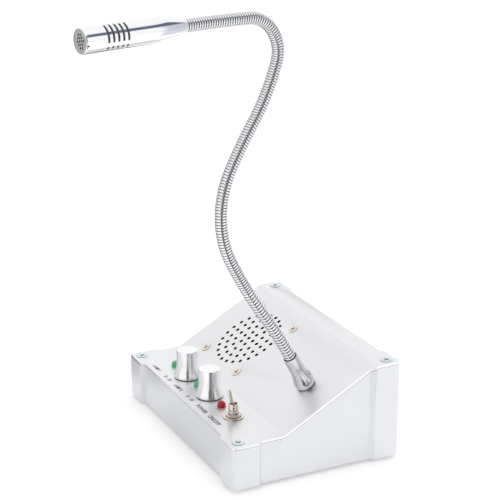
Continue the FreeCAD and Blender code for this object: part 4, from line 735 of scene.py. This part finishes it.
# Toggle switch: a nickel-plated threaded bushing through the cover, clamped by a washer and a hexagon
# nut, with a bat lever that swings on a ball inside it. Its moulded case is under the cover.

def thread_ridge():
    """A tree that winds the ridge of a screw thread upwards round Z."""
    tree, given = new_tree("thread_ridge", (), ("Root", "Pitch", "Height", "Ridge"), "Thread")
    helix = add(tree, "GeometryNodeCurveSpiral", {
        "Resolution": 36, "Rotations": sum_of(tree, "DIVIDE", given["Height"], given["Pitch"]),
        "Start Radius": given["Root"], "End Radius": given["Root"], "Height": given["Height"]})
    edge = add(tree, "GeometryNodeCurvePrimitiveCircle", {"Resolution": 4, "Radius": given["Ridge"]})
    wound = add(tree, "GeometryNodeCurveToMesh", {
        "Curve": helix.outputs["Curve"], "Profile Curve": edge.outputs["Curve"], "Fill Caps": True})
    end_tree(tree, wound.outputs["Mesh"], given["Finish"], "Thread")
    return tree


# The switch's nickel has shade painted into its thread, corners and seams.
bright_nickel = speckled(
    "bright_nickel", (0.84, 0.77, 0.70), 1.0, 0.1, scale=500, share=0.08, depth=0.001, painted_joint_shade=(1.4, 0.9))
BUSHING_ROOT, BUSHING_BORE = 2.68, 2.2
BUSHING_LEAD, BUSHING_LEAD_DROP = 0.2, 0.35
THREAD_PITCH, THREAD_RIDGE, THREAD_CLEAR = 0.75, 0.26, 0.5
FOOT_PLATE = 0.6
low, high = corners("switch_bushing")
bushing_tall = (high.z - low.z) / MM
bushing_outline = [
    (BUSHING_BORE, 0), (BUSHING_ROOT, 0), (BUSHING_ROOT, bushing_tall - BUSHING_LEAD_DROP),
    (BUSHING_ROOT - BUSHING_LEAD, bushing_tall), (BUSHING_BORE, bushing_tall)]
seat = seat_of("switch_bushing")
helix = as_object("bushing_thread", bpy.data.meshes.new("bushing_thread"), bright_nickel)
run_tree(helix, thread_ridge(), {
    "Root": BUSHING_ROOT * MM, "Pitch": THREAD_PITCH * MM, "Ridge": THREAD_RIDGE * MM,
    "Height": (bushing_tall - THREAD_CLEAR - FOOT_PLATE - THREAD_RIDGE) * MM, "Finish": bright_nickel})
helix.data.transform(Matrix.Translation((0, 0, (FOOT_PLATE + THREAD_RIDGE) * MM)))
whole = bmesh.new()
bmesh.ops.create_cube(whole, size=1.0)
whole.transform(Matrix.Diagonal((high.x - low.x, high.y - low.y, FOOT_PLATE * MM, 1)))
whole.transform(Matrix.Translation((0, 0, FOOT_PLATE / 2 * MM)))
whole.from_mesh(lathe("bushing_tube", bushing_outline, steps=64))
whole.from_mesh(helix.data)
bushing = as_object("threaded_bushing", mesh_of(whole, "threaded_bushing"), bright_nickel)
bpy.data.objects.remove(helix)
bushing.data.transform(Matrix.Translation(seat))
smooth(bushing.data, 34)
put(bushing, "unit", "switch_nickel", "switch_bushing")
for node in ("switch_washer", "switch_nut"):
    finished(f"{node}_finished", node, bright_nickel, 0.14, "switch_nickel")
LEVER_TAIL, LEVER_BALL = 3.6, 2.6
LEVER_SLIMNESS = 0.84
lever = as_object("bat_lever", joined_copy("toggle_lever"), bright_nickel)
lever_top = max(lever.data.vertices, key=lambda vert: vert.co.z).co
pivot = Vector((seat.x, seat.y, seat_of("toggle_lever").z + LEVER_TAIL * MM))
lever_line = (lever_top - pivot).normalized()
for vert in lever.data.vertices:
    along = (vert.co - pivot).dot(lever_line)
    if along > LEVER_BALL * MM:
        foot = pivot + lever_line * along
        vert.co = foot + (vert.co - foot) * LEVER_SLIMNESS
smooth(lever.data, 50)
put(lever, "lever", "lever_nickel", "toggle_lever")
dress(speckled("case_plastic", (0.02, 0.07, 0.22), 0.0, 0.35, scale=500, share=0.15), "switch_case")


# Rear sockets: a round power inlet and two jack sockets, moulded in black plastic and let into the
# rear wall, with nickel-plated ring nuts on the jack sockets.

socket_black = speckled("socket_plastic", (0.02, 0.02, 0.021), 0.0, 0.4, share=0.25, depth=0.01)
for node in ("power_socket", "jack_sockets"):
    finished(f"{node}_finished", node, socket_black, 0.12, "socket_black")
finished("ring_nuts", "jack_nuts", bright_nickel, 0.2, "switch_nickel")


# Collar: a bell turned from bar and chromed, with a threaded stud below the cover and a grub screw
# that grips the neck.

def plated(name, colour, rough, share=0.04, painted_joint_shade=None, axis=None):
    """Bright plate with a faint unevenness in its gloss, drawn out along an axis where it was turned, and
    shade painted into its joints where it is asked for.
    """
    material, tree, shader = finish_named(name, colour, 1.0, rough)
    haze = grain(tree, (260,) * 3)
    glossed(tree, shader, haze, rough * 0.7, rough * 1.5)
    coloured(tree, shader, spread(tree, haze, 0, 1), darker(colour, share), colour, painted_joint_shade)
    if axis:
        normal = add(tree, "ShaderNodeNewGeometry").outputs["Normal"]
        drawn_out(tree, shader, 0.9, vector_sum(tree, "CROSS_PRODUCT", tuple(axis), normal), QUARTER_TURN)
    return material


def bent_run(start, end, radius, steps=12):
    """Points along the short arc between two outline points; a negative radius hollows it."""
    a, b = Vector(start), Vector(end)
    half = (b - a).length / 2
    out = Vector(((b - a).y, -(b - a).x)).normalized()
    towards = -math.copysign(math.sqrt(radius * radius - half * half), radius)
    centre = (a + b) / 2 + out * towards
    first, sweep = a - centre, (a - centre).angle_signed(b - centre)
    return [centre + Matrix.Rotation(-sweep * step / steps, 2) @ first for step in range(steps + 1)]


NECK_X, NECK_UP = 46.2, 31.4
FRONT_TOP = 28.0
NECK_SWING = math.radians(12.3)
COLLAR_HEIGHT = 21.6
COLLAR_TOP, COLLAR_MOUTH, COLLAR_BORE = 4.25, 3.95, 3.56
COLLAR_MOUTH_DEPTH, COLLAR_BORE_DEPTH = 1.0, 17.0
COLLAR_WAIST, COLLAR_WAIST_HEIGHT = 4.4, 14.0
COLLAR_BELLY, COLLAR_BELLY_HEIGHT = 6.1, 3.4
COLLAR_FOOT = 5.3
STUD_RADIUS, STUD_BORE, STUD_END = 4.9, 2.0, 9.5
COLLAR_SCREW_HOLE = 1.55
waist_arc = arc_radius(COLLAR_WAIST_HEIGHT - COLLAR_BELLY_HEIGHT, COLLAR_BELLY - COLLAR_WAIST)
belly_arc = arc_radius(COLLAR_BELLY_HEIGHT, COLLAR_BELLY - COLLAR_FOOT)
collar_outline = [(STUD_BORE, -STUD_END), (STUD_RADIUS, -STUD_END), (STUD_RADIUS, 0)]
collar_outline += bent_run((COLLAR_FOOT, 0), (COLLAR_BELLY, COLLAR_BELLY_HEIGHT), belly_arc)
collar_outline += bent_run(
    (COLLAR_BELLY, COLLAR_BELLY_HEIGHT), (COLLAR_WAIST, COLLAR_WAIST_HEIGHT), -waist_arc)[1:]
collar_outline += [
    (COLLAR_TOP, COLLAR_HEIGHT), (COLLAR_MOUTH, COLLAR_HEIGHT),
    (COLLAR_BORE, COLLAR_HEIGHT - COLLAR_MOUTH_DEPTH), (COLLAR_BORE, COLLAR_HEIGHT - COLLAR_BORE_DEPTH),
    (STUD_BORE, COLLAR_HEIGHT - COLLAR_BORE_DEPTH)]
neck_seat = Vector((
    NECK_X, NECK_UP * math.cos(SLOPE) - FRONT_BEND, FRONT_TOP + NECK_UP * math.sin(SLOPE)))
on_slope = Matrix.Translation(neck_seat * MM) @ Matrix.Rotation(SLOPE, 4, "X")
# The chromed collar has shade painted into its corners and round the hole for its grub screw.
chrome = plated("chrome_plate", (0.70, 0.705, 0.72), 0.12, painted_joint_shade=(1.4, 0.85), axis=SLOPE_UP)
collar = as_object("collar", lathe("collar", collar_outline), chrome)
collar.data.transform(on_slope)
screw_seat = centre_of("collar_screw")
screw_height = (on_slope.inverted() @ screw_seat).z
screw_out = (screw_seat - on_slope @ Vector((0, 0, screw_height))).normalized()
drilled(collar, screw_seat, screw_out, 1.5, 4, COLLAR_SCREW_HOLE)
smooth(collar.data, 24)
put(collar, "unit", "collar_chrome", "neck_collar")
dress(screw_zinc, "collar_nut")
dress(chrome, "collar_screw")


# Flexible neck: a chromed steel strip wound into a ribbed tube round a stiff core, bent by hand to
# an S. It is made in lengths that meet between the joints, each shaped to the curve of the neck.

NECK_STRAIGHT = 28.5
NECK_ARCS = ((24.4, 6.1), (41.1, -9.0), (27.1, -31.1), (24.6, -26.6), (28.5, -6.7), (36.5, 16.4),
             (35.3, 111.3), (42.1, 2.4))
NECK_RADIUS, GROOVE_RADIUS = 3.5, 3.2
RIB_PITCH_LOW, RIB_PITCH_HIGH, PITCH_EVEN_FROM = 2.05, 1.52, 80.0
RIB_STEPS = 12
PATH_STEP = 0.5
NECK_SEATED = 4.0
NECK_IN_TAIL = 2.0
neck_foot = on_slope @ Matrix.Rotation(NECK_SWING, 4, "Z")


def neck_at(travel):
    """Where the middle of the neck is after a travel from the cover, and which way it heads."""
    y = z = heading = 0.0
    for length, turn in ((NECK_STRAIGHT, 0.0),) + NECK_ARCS:
        run = min(travel, length)
        bend = math.radians(turn) * run / length
        chord = run if abs(bend) < 1e-9 else run * math.sin(bend / 2) / (bend / 2)
        y -= chord * math.sin(heading + bend / 2)
        z += chord * math.cos(heading + bend / 2)
        heading += bend
        travel -= run
        if travel <= 0:
            break
    forward = neck_foot.to_3x3() @ Vector((0, -math.sin(heading), math.cos(heading)))
    return neck_foot @ Vector((0, y * MM, z * MM)), forward


def ribbed_tube():
    """A tree that sweeps a ribbed circle along a curve."""
    tree, given = new_tree("ribbed_tube", ("Path",), ("Root", "Crest", "Pitch", "Step"), "Tube")
    path = add(tree, "GeometryNodeMeshToCurve", {"Mesh": given["Path"]})
    fine = add(tree, "GeometryNodeResampleCurve", {
        "Curve": path.outputs["Curve"], "Length": given["Step"]}, mode="LENGTH")
    travel = add(tree, "GeometryNodeSplineParameter").outputs["Length"]
    phase = sum_of(tree, "FRACT", sum_of(tree, "DIVIDE", travel, given["Pitch"]))
    centred = sum_of(tree, "SUBTRACT", sum_of(tree, "MULTIPLY", phase, 2.0), 1.0)
    hollow = sum_of(tree, "POWER", sum_of(tree, "ABSOLUTE", centred), 3.0)
    swell = sum_of(tree, "MAXIMUM", sum_of(tree, "SUBTRACT", 1.0, hollow), 0.0)
    depth = sum_of(tree, "SUBTRACT", given["Crest"], given["Root"])
    radius = sum_of(tree, "ADD", given["Root"], sum_of(tree, "MULTIPLY", depth, swell))
    marked = add(tree, "GeometryNodeStoreNamedAttribute", {
        "Geometry": fine.outputs["Curve"], "Name": "crown", "Value": swell},
        data_type="FLOAT", domain="POINT")
    sized = add(tree, "GeometryNodeSetCurveRadius", {
        "Curve": marked.outputs["Geometry"], "Radius": radius})
    circle = add(tree, "GeometryNodeCurvePrimitiveCircle", {"Resolution": 40, "Radius": 1.0})
    swept = add(tree, "GeometryNodeCurveToMesh", {
        "Curve": sized.outputs["Curve"], "Profile Curve": circle.outputs["Curve"], "Scale": radius,
        "Fill Caps": True})
    shaded = add(tree, "GeometryNodeSetShadeSmooth", {
        "Geometry": swept.outputs["Mesh"], "Shade Smooth": True})
    end_tree(tree, shaded.outputs["Geometry"], given["Finish"], "Tube")
    return tree


def ribbed_chrome():
    """Chrome that is dull down in the grooves between the ribs, with shade painted there: its colour falls to
    near black in the grooves.
    """
    colour = (0.87, 0.875, 0.89)
    material, tree, shader = finish_named("ribbed_chrome", colour, 1.0, 0.1)
    crown = add(tree, "ShaderNodeAttribute", attribute_name="crown").outputs["Fac"]
    # Painted shade: the colour goes from near black down in each groove to bright on each crown.
    coloured(tree, shader, spread(tree, crown, 0, 1, 0.3, 0.8), (0.05, 0.05, 0.055), colour)
    glossed(tree, shader, crown, 0.4, 0.08, 0.1, 0.8)
    return material


neck_ends = [NECK_STRAIGHT]
for length, _ in NECK_ARCS:
    neck_ends.append(neck_ends[-1] + length)
cuts = [COLLAR_HEIGHT - NECK_SEATED]
for low_end, high_end in zip(neck_ends[1:-1], neck_ends[2:]):
    cuts.append((low_end + high_end) / 2)
cuts.append(neck_ends[-1] + NECK_IN_TAIL)
neck_bodies = ["unit"] + [f"neck_{i}" for i in range(2, 8)] + ["microphone"]
tube_tree = ribbed_tube()
neck_finish = ribbed_chrome()
for index, (begin, end) in enumerate(zip(cuts, cuts[1:])):
    label = f"neck_length_{index + 1}"
    steps = round((end - begin) / PATH_STEP)
    points = [neck_at(begin + (end - begin) * step / steps)[0] for step in range(steps + 1)]
    line = bpy.data.meshes.new(label)
    line.from_pydata(points, [(i, i + 1) for i in range(steps)], [])
    length = as_object(label, line, neck_finish)
    wished = RIB_PITCH_LOW + (RIB_PITCH_HIGH - RIB_PITCH_LOW) * min(1, begin / PITCH_EVEN_FROM)
    pitch = (end - begin) / round((end - begin) / wished)
    run_tree(length, tube_tree, {
        "Root": GROOVE_RADIUS * MM, "Crest": NECK_RADIUS * MM, "Pitch": pitch * MM,
        "Step": pitch * MM / RIB_STEPS, "Finish": neck_finish})
    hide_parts(f"neck_section_{index + 1}")
    if neck_bodies[index] == "microphone":
        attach(length, "microphone")
        continue
    at, forward = neck_at(neck_ends[index + 1])
    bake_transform(length)


# Microphone: a tube turned from bar and plated, tapered to the neck, with five rows of slots, a grey
# perforated end and a small screw that holds the end.

def slot_bars():
    """Rings of curved bars round Z, one ring for each row, that cut the slots of the tube."""
    shape = bmesh.new()
    section = ((SLOT_INNER, -1), (SLOT_OUTER, -1), (SLOT_OUTER, 1), (SLOT_INNER, 1))
    for row in range(SLOT_ROWS):
        height = (MIC_LENGTH - SLOT_FIRST - row * SLOT_PITCH) * MM
        for turn in range(SLOTS_ROUND):
            loops = []
            for step in range(SLOT_STEPS + 1):
                angle = math.radians(
                    SLOT_START + 360 / SLOTS_ROUND * turn + SLOT_SWEEP * step / SLOT_STEPS)
                ray = Vector((math.cos(angle), math.sin(angle), 0))
                half = SLOT_WIDTH / 2 * (SLOT_END if step in (0, SLOT_STEPS) else 1.0) * MM
                loops.append([shape.verts.new(ray * radius * MM + Vector((0, 0, height + side * half)))
                              for radius, side in section])
            for here, there in zip(loops, loops[1:]):
                for i in range(4):
                    j = (i + 1) % 4
                    shape.faces.new((here[i], here[j], there[j], there[i]))
            shape.faces.new(loops[0][::-1])
            shape.faces.new(loops[-1])
    bmesh.ops.recalc_face_normals(shape, faces=shape.faces)
    return mesh_of(shape, "bars")


MIC_LENGTH = 61.9
MIC_RADIUS, MIC_BORE = 6.65, 5.6
MIC_TAIL, MIC_TAPER = 4.1, 19.8
MIC_RIM, MIC_RIM_LENGTH, MIC_RIM_LEAD = 0.4, 1.0, 0.4
rim_round = [(MIC_RADIUS - MIC_RIM * (1 - math.cos(math.radians(turn))),
              MIC_LENGTH - MIC_RIM_LENGTH * (1 - math.sin(math.radians(turn)))) for turn in range(0, 91, 10)]
MIC_SEAT, MIC_SEAT_DEPTH = 3.52, 8.02
MIC_NECK_BORE = 2.0
CAP_SEAT, CAP_SEAT_DEPTH, CAP_DRILLED = 6.12, 4.7, 5.0
BORE_LEVEL = 0.3
SLOTS_ROUND, SLOT_STEPS, SLOT_END = 3, 20, 0.55
SLOT_ROWS, SLOT_PITCH, SLOT_FIRST, SLOT_WIDTH = 5, 2.9, 12.8, 1.35
SLOT_START, SLOT_SWEEP = -19.6, 102.0
SLOT_INNER, SLOT_OUTER = MIC_BORE - 0.5, MIC_RADIUS + 0.5
MIC_SCREW_HOLE = 0.57
mic_end, mic_forward = neck_at(neck_ends[-1])
mic_across = neck_foot.to_3x3() @ Vector((1, 0, 0))
mic_up = mic_forward.cross(mic_across)
mic_place = Matrix.Translation(mic_end) @ Matrix((mic_across, mic_up, mic_forward)).transposed().to_4x4()
taper_arc = arc_radius(MIC_TAPER, MIC_RADIUS - MIC_TAIL)
mic_outline = [
    (MIC_SEAT, 0), *bent_run((MIC_TAIL, 0), (MIC_RADIUS, MIC_TAPER), taper_arc, steps=40),
    (MIC_RADIUS, MIC_LENGTH - MIC_RIM_LENGTH - MIC_RIM_LEAD), *rim_round, (CAP_SEAT, MIC_LENGTH),
    (CAP_SEAT, MIC_LENGTH - CAP_SEAT_DEPTH), (MIC_BORE, MIC_LENGTH - CAP_SEAT_DEPTH),
    (MIC_BORE, MIC_TAPER), (MIC_NECK_BORE, MIC_TAPER), (MIC_NECK_BORE, MIC_SEAT_DEPTH),
    (MIC_SEAT, MIC_SEAT_DEPTH)]
mic_chrome = plated("mic_plate", (0.95, 0.955, 0.97), 0.1, share=0.02)
mic = as_object("mic_tube", lathe("mic_tube", mic_outline, steps=128), mic_chrome)
cut_away(mic, as_object("bars", slot_bars(), mic_chrome))
mic.data.transform(mic_place)
mic_screw_seat = centre_of("mic_screw")
axis_point = mic_end + mic_forward * (mic_screw_seat - mic_end).dot(mic_forward)
drilled(mic, mic_screw_seat, (mic_screw_seat - axis_point).normalized(), 1.5, 1.5, MIC_SCREW_HOLE)
smooth(mic.data, 12)
put(mic, "microphone", "mic_satin", "mic_housing")
# The grey cap has shade painted deep into its holes and corners.
cap_finish = speckled(
    "cap_plastic", (0.46, 0.46, 0.465), 0.0, 0.35, share=0.08, depth=0.008, painted_joint_shade=(1.6, 0.97))
cap = as_object("mic_end", joined_copy("mic_cap"), cap_finish)
broken_edges(cap, 0.06)
# The walls of the holes through the cap are made black: painted shade for the shadow down in the holes, where
# the plastic is the cap's own grey.
cap_hole_shade = speckled("cap_hole_shade", (0.02, 0.02, 0.02), 0.0, 0.8, share=0.1)
refinish(cap, cap_hole_shade, lambda face: abs(face.normal.dot(mic_forward)) < BORE_LEVEL
         and (face.center - mic_end).cross(mic_forward).length < CAP_DRILLED * MM)
put(cap, "microphone", "cap_grey", "mic_cap")
dress(woven("damping_cloth", (0.11, 0.11, 0.115), 0.4), "mic_sleeve")
dress(black_steel, "mic_screw")
dress(paper, "mic_capsule")
dress(rubber, "mic_holder")


# Printed marks: small dark characters along the front edge, one by each lamp and control: a number
# for two lamps, the range of each knob, a word for the red lamp and the two states of the switch.

ink = speckled("screen_ink", (0.02, 0.02, 0.022), 0.0, 0.6, scale=2500, share=0.3, depth=0.002)
MARK_Y = -46.4
MARK_THICKNESS, MARK_BOLDNESS = 0.02, 0.08
LETTER_SIZE = 1.65
for index, (text, x, height) in enumerate((
        ("LAMP 1", -46.0, 1.9), ("0 - 10", -29.0, 2.1), ("LAMP 2", -13.1, 1.9), ("0 - 10", 3.5, 2.1),
        ("POWER", 20.3, 2.2), ("ON/OFF", 37.5, 2.3)), start=1):
    letters = bpy.data.curves.new(f"mark_{index}", "FONT")
    letters.body = text
    letters.size = height * LETTER_SIZE * MM
    letters.align_x = "CENTER"
    letters.align_y = "CENTER"
    letters.extrude = MARK_THICKNESS / 2 * MM
    letters.offset = MARK_BOLDNESS * MM
    written = linked(f"mark_{index}", letters)
    mesh = plain_mesh(written)
    bpy.data.objects.remove(written)
    mesh.transform(Matrix.Translation(Vector((x, MARK_Y, FRONT_TOP + MARK_THICKNESS / 2)) * MM))
    put(as_object(f"mark_{index}", mesh, ink), "unit", "panel_aluminium")


# Studio: a white table and a white sky, soft lamps, and the dim places of the room that bright
# metal shows: the open side in front, a grey wall on the right, a dark beam above it, and the left.

def facing(azimuth, elevation=0.0):
    """A unit direction, with azimuth 0 towards the front of the unit and 90 towards its right."""
    a, e = math.radians(azimuth), math.radians(elevation)
    return math.sin(a) * math.cos(e), -math.cos(a) * math.cos(e), math.sin(e)


def between(tree, value, low, high, soft):
    """1 where a value lies between two bounds, falling to 0 over a soft edge on each side."""
    above = add(tree, "ShaderNodeMapRange", {
        "Value": value, "From Min": low - soft, "From Max": low}, interpolation_type="SMOOTHSTEP")
    below = add(tree, "ShaderNodeMapRange", {
        "Value": value, "From Min": high, "From Max": high + soft, "To Min": 1.0, "To Max": 0.0},
        interpolation_type="SMOOTHSTEP")
    return sum_of(tree, "MULTIPLY", above.outputs["Result"], below.outputs["Result"])


def on_side(tree, ray, azimuth, half, soft):
    """1 where a ray's bearing is within half an angle of an azimuth."""
    bearing = vector_sum(tree, "NORMALIZE", vector_sum(tree, "MULTIPLY", ray, (1, 1, 0)))
    nearness = vector_sum(tree, "DOT_PRODUCT", bearing, facing(azimuth), "Value")
    inner, outer = math.cos(math.radians(half)), math.cos(math.radians(half + soft))
    return between(tree, nearness, inner, 2.0, inner - outer)


def toned(tree, colour, side, belt, tone):
    """Multiplies a colour by a tone where a side and a belt are both 1."""
    shade = tint(tree, sum_of(tree, "MULTIPLY", side, belt), (1, 1, 1), tone)
    return vector_sum(tree, "MULTIPLY", colour, shade)


def in_metal(tree, colour):
    """A colour where bright metal sees it and white elsewhere, and 1 where a camera, metal or clear
    plastic sees it."""
    path = add(tree, "ShaderNodeLightPath").outputs
    mix = add(tree, "ShaderNodeMix", {"Factor": path["Is Glossy Ray"], 7: colour}, data_type="RGBA")
    mix.inputs[6].default_value = (1, 1, 1, 1)
    direct = sum_of(tree, "MAXIMUM", path["Is Camera Ray"], path["Is Glossy Ray"])
    return mix.outputs[2], sum_of(tree, "MAXIMUM", direct, path["Is Transmission Ray"])


def studio_white():
    """A white floor that takes the shadow of the unit, and that bright metal sees end at the sides."""
    material, tree, shader = finish_named("white_floor", FLOOR_WHITE, 0.0, 0.9)
    apart = vector_sum(tree, "SUBTRACT", own_place(tree), FLOOR_MIDDLE)
    reach = vector_sum(tree, "LENGTH", apart, result="Value")
    shown = tint(tree, 0.0, (1, 1, 1), (1, 1, 1))
    for azimuth, half, soft, begin, end, tone in FLOOR_TONES:
        belt = between(tree, reach, begin, end, FLOOR_SOFT)
        shown = toned(tree, shown, on_side(tree, apart, azimuth, half, soft), belt, tone)
    seen, clear = in_metal(tree, shown)
    tree.links.new(vector_sum(tree, "MULTIPLY", seen, FLOOR_WHITE), shader.inputs["Base Color"])
    tree.links.new(seen, shader.inputs["Emission Color"])
    tree.links.new(sum_of(tree, "MULTIPLY", clear, FLOOR_GLOW), shader.inputs["Emission Strength"])
    return material


FLOOR_GLOW = 0.24
FLOOR_WHITE = (0.93, 0.93, 0.93)
FLOOR_MIDDLE = (0.046, -0.015, 0)
FLOOR_SOFT = 0.03
OPEN_SIDE = (0.09, 0.09, 0.10)
GREY_WALL = (0.60, 0.62, 0.68)
BEAM = (0.13, 0.15, 0.22)
LEFT_GAP = (0.25, 0.25, 0.27)
LEFT_WALL = (0.70, 0.70, 0.71)
TABLE_EDGE = (0.82, 0.80, 0.77)
# Azimuth, half width and soft edge in degrees, reach from and to in metres, tone.
FLOOR_TONES = (
    (70, 13, 4, 0.11, 20, OPEN_SIDE), (158, 16, 10, 0.35, 20, GREY_WALL), (274, 20, 8, 0.17, 20, LEFT_GAP),
    (322, 20, 10, 0.05, 20, LEFT_WALL), (130, 30, 20, 0.30, 0.33, TABLE_EDGE))
bpy.ops.mesh.primitive_plane_add(size=12, location=(0, 0, 0))
ground = bpy.context.object
ground.name = "ground"
ground.data.materials.append(studio_white())


def soft_lamp(name, place, size, power):
    """A square area lamp that faces the unit."""
    light = bpy.data.lights.new(name, "AREA")
    light.size = size
    light.energy = power
    item = linked(name, light)
    item.location = place
    aim = Vector((0, 0, 0.1)) - Vector(place)
    item.rotation_euler = aim.to_track_quat("-Z", "Y").to_euler()
    item.visible_glossy = False


soft_lamp("top_lamp", (-0.4, 0.5, 1.4), 1.0, 3.5)
soft_lamp("right_lamp", (1.5, 0.3, 0.7), 1.0, 4)

world = bpy.data.worlds.new("white_sky")
world.use_nodes = True
bpy.context.scene.world = world
sky = world.node_tree
base = sky.nodes["Background"]
heading = add(sky, "ShaderNodeTexCoord").outputs["Generated"]
height = add(sky, "ShaderNodeSeparateXYZ", {"Vector": heading}).outputs["Z"]
ROOM_LIGHT = 0.8
# Azimuth, half width and soft edge in degrees, lowest and highest angle, soft height, tone.
SKY_TONES = (
    (82, 24, 5, -5, 42, 0.12, OPEN_SIDE), (163, 16, 10, -5, 32, 0.08, GREY_WALL),
    (147, 25, 8, 31, 46, 0.05, BEAM), (274, 14, 8, -5, 6, 0.08, LEFT_GAP),
    (318, 22, 10, -5, 45, 0.15, LEFT_WALL))
room = tint(sky, 0.0, (1, 1, 1), (1, 1, 1))
for azimuth, half, soft, low, high, soft_height, tone in SKY_TONES:
    belt = between(sky, height, math.sin(math.radians(low)), math.sin(math.radians(high)), soft_height)
    room = toned(sky, room, on_side(sky, heading, azimuth, half, soft), belt, tone)
shown, clear = in_metal(sky, room)
sky.links.new(shown, base.inputs["Color"])
sky.links.new(spread(sky, clear, ROOM_LIGHT, 1.0, 0.0, 1.0), base.inputs["Strength"])


# Camera: a long lens at the height and distance of the photograph, with the whole of the neck in
# view. Colours are shown plainly, without a film look.

VIEW_AZIMUTH, VIEW_ELEVATION = 63.844, 18.479
VIEW_DISTANCE = 869.27
AIM_HEIGHT, AIM_RIGHT, AIM_UP = 102.0, -4.927, 8.880
FOCAL_LENGTH = 107.3
right = Vector(facing(VIEW_AZIMUTH + 90))
back = Vector(facing(VIEW_AZIMUTH, VIEW_ELEVATION))
upward = back.cross(right)
aim = Vector((0, 0, AIM_HEIGHT)) + right * AIM_RIGHT + upward * AIM_UP
optics = bpy.data.cameras.new("camera")
optics.lens = FOCAL_LENGTH
optics.sensor_width = 36
optics.clip_start = 0.01
camera = linked("camera", optics)
turn = Matrix((right, upward, back)).transposed().to_4x4()
camera.matrix_world = Matrix.Translation((aim + back * VIEW_DISTANCE) * MM) @ turn
bpy.context.scene.camera = camera
bpy.context.scene.view_settings.view_transform = "Standard"
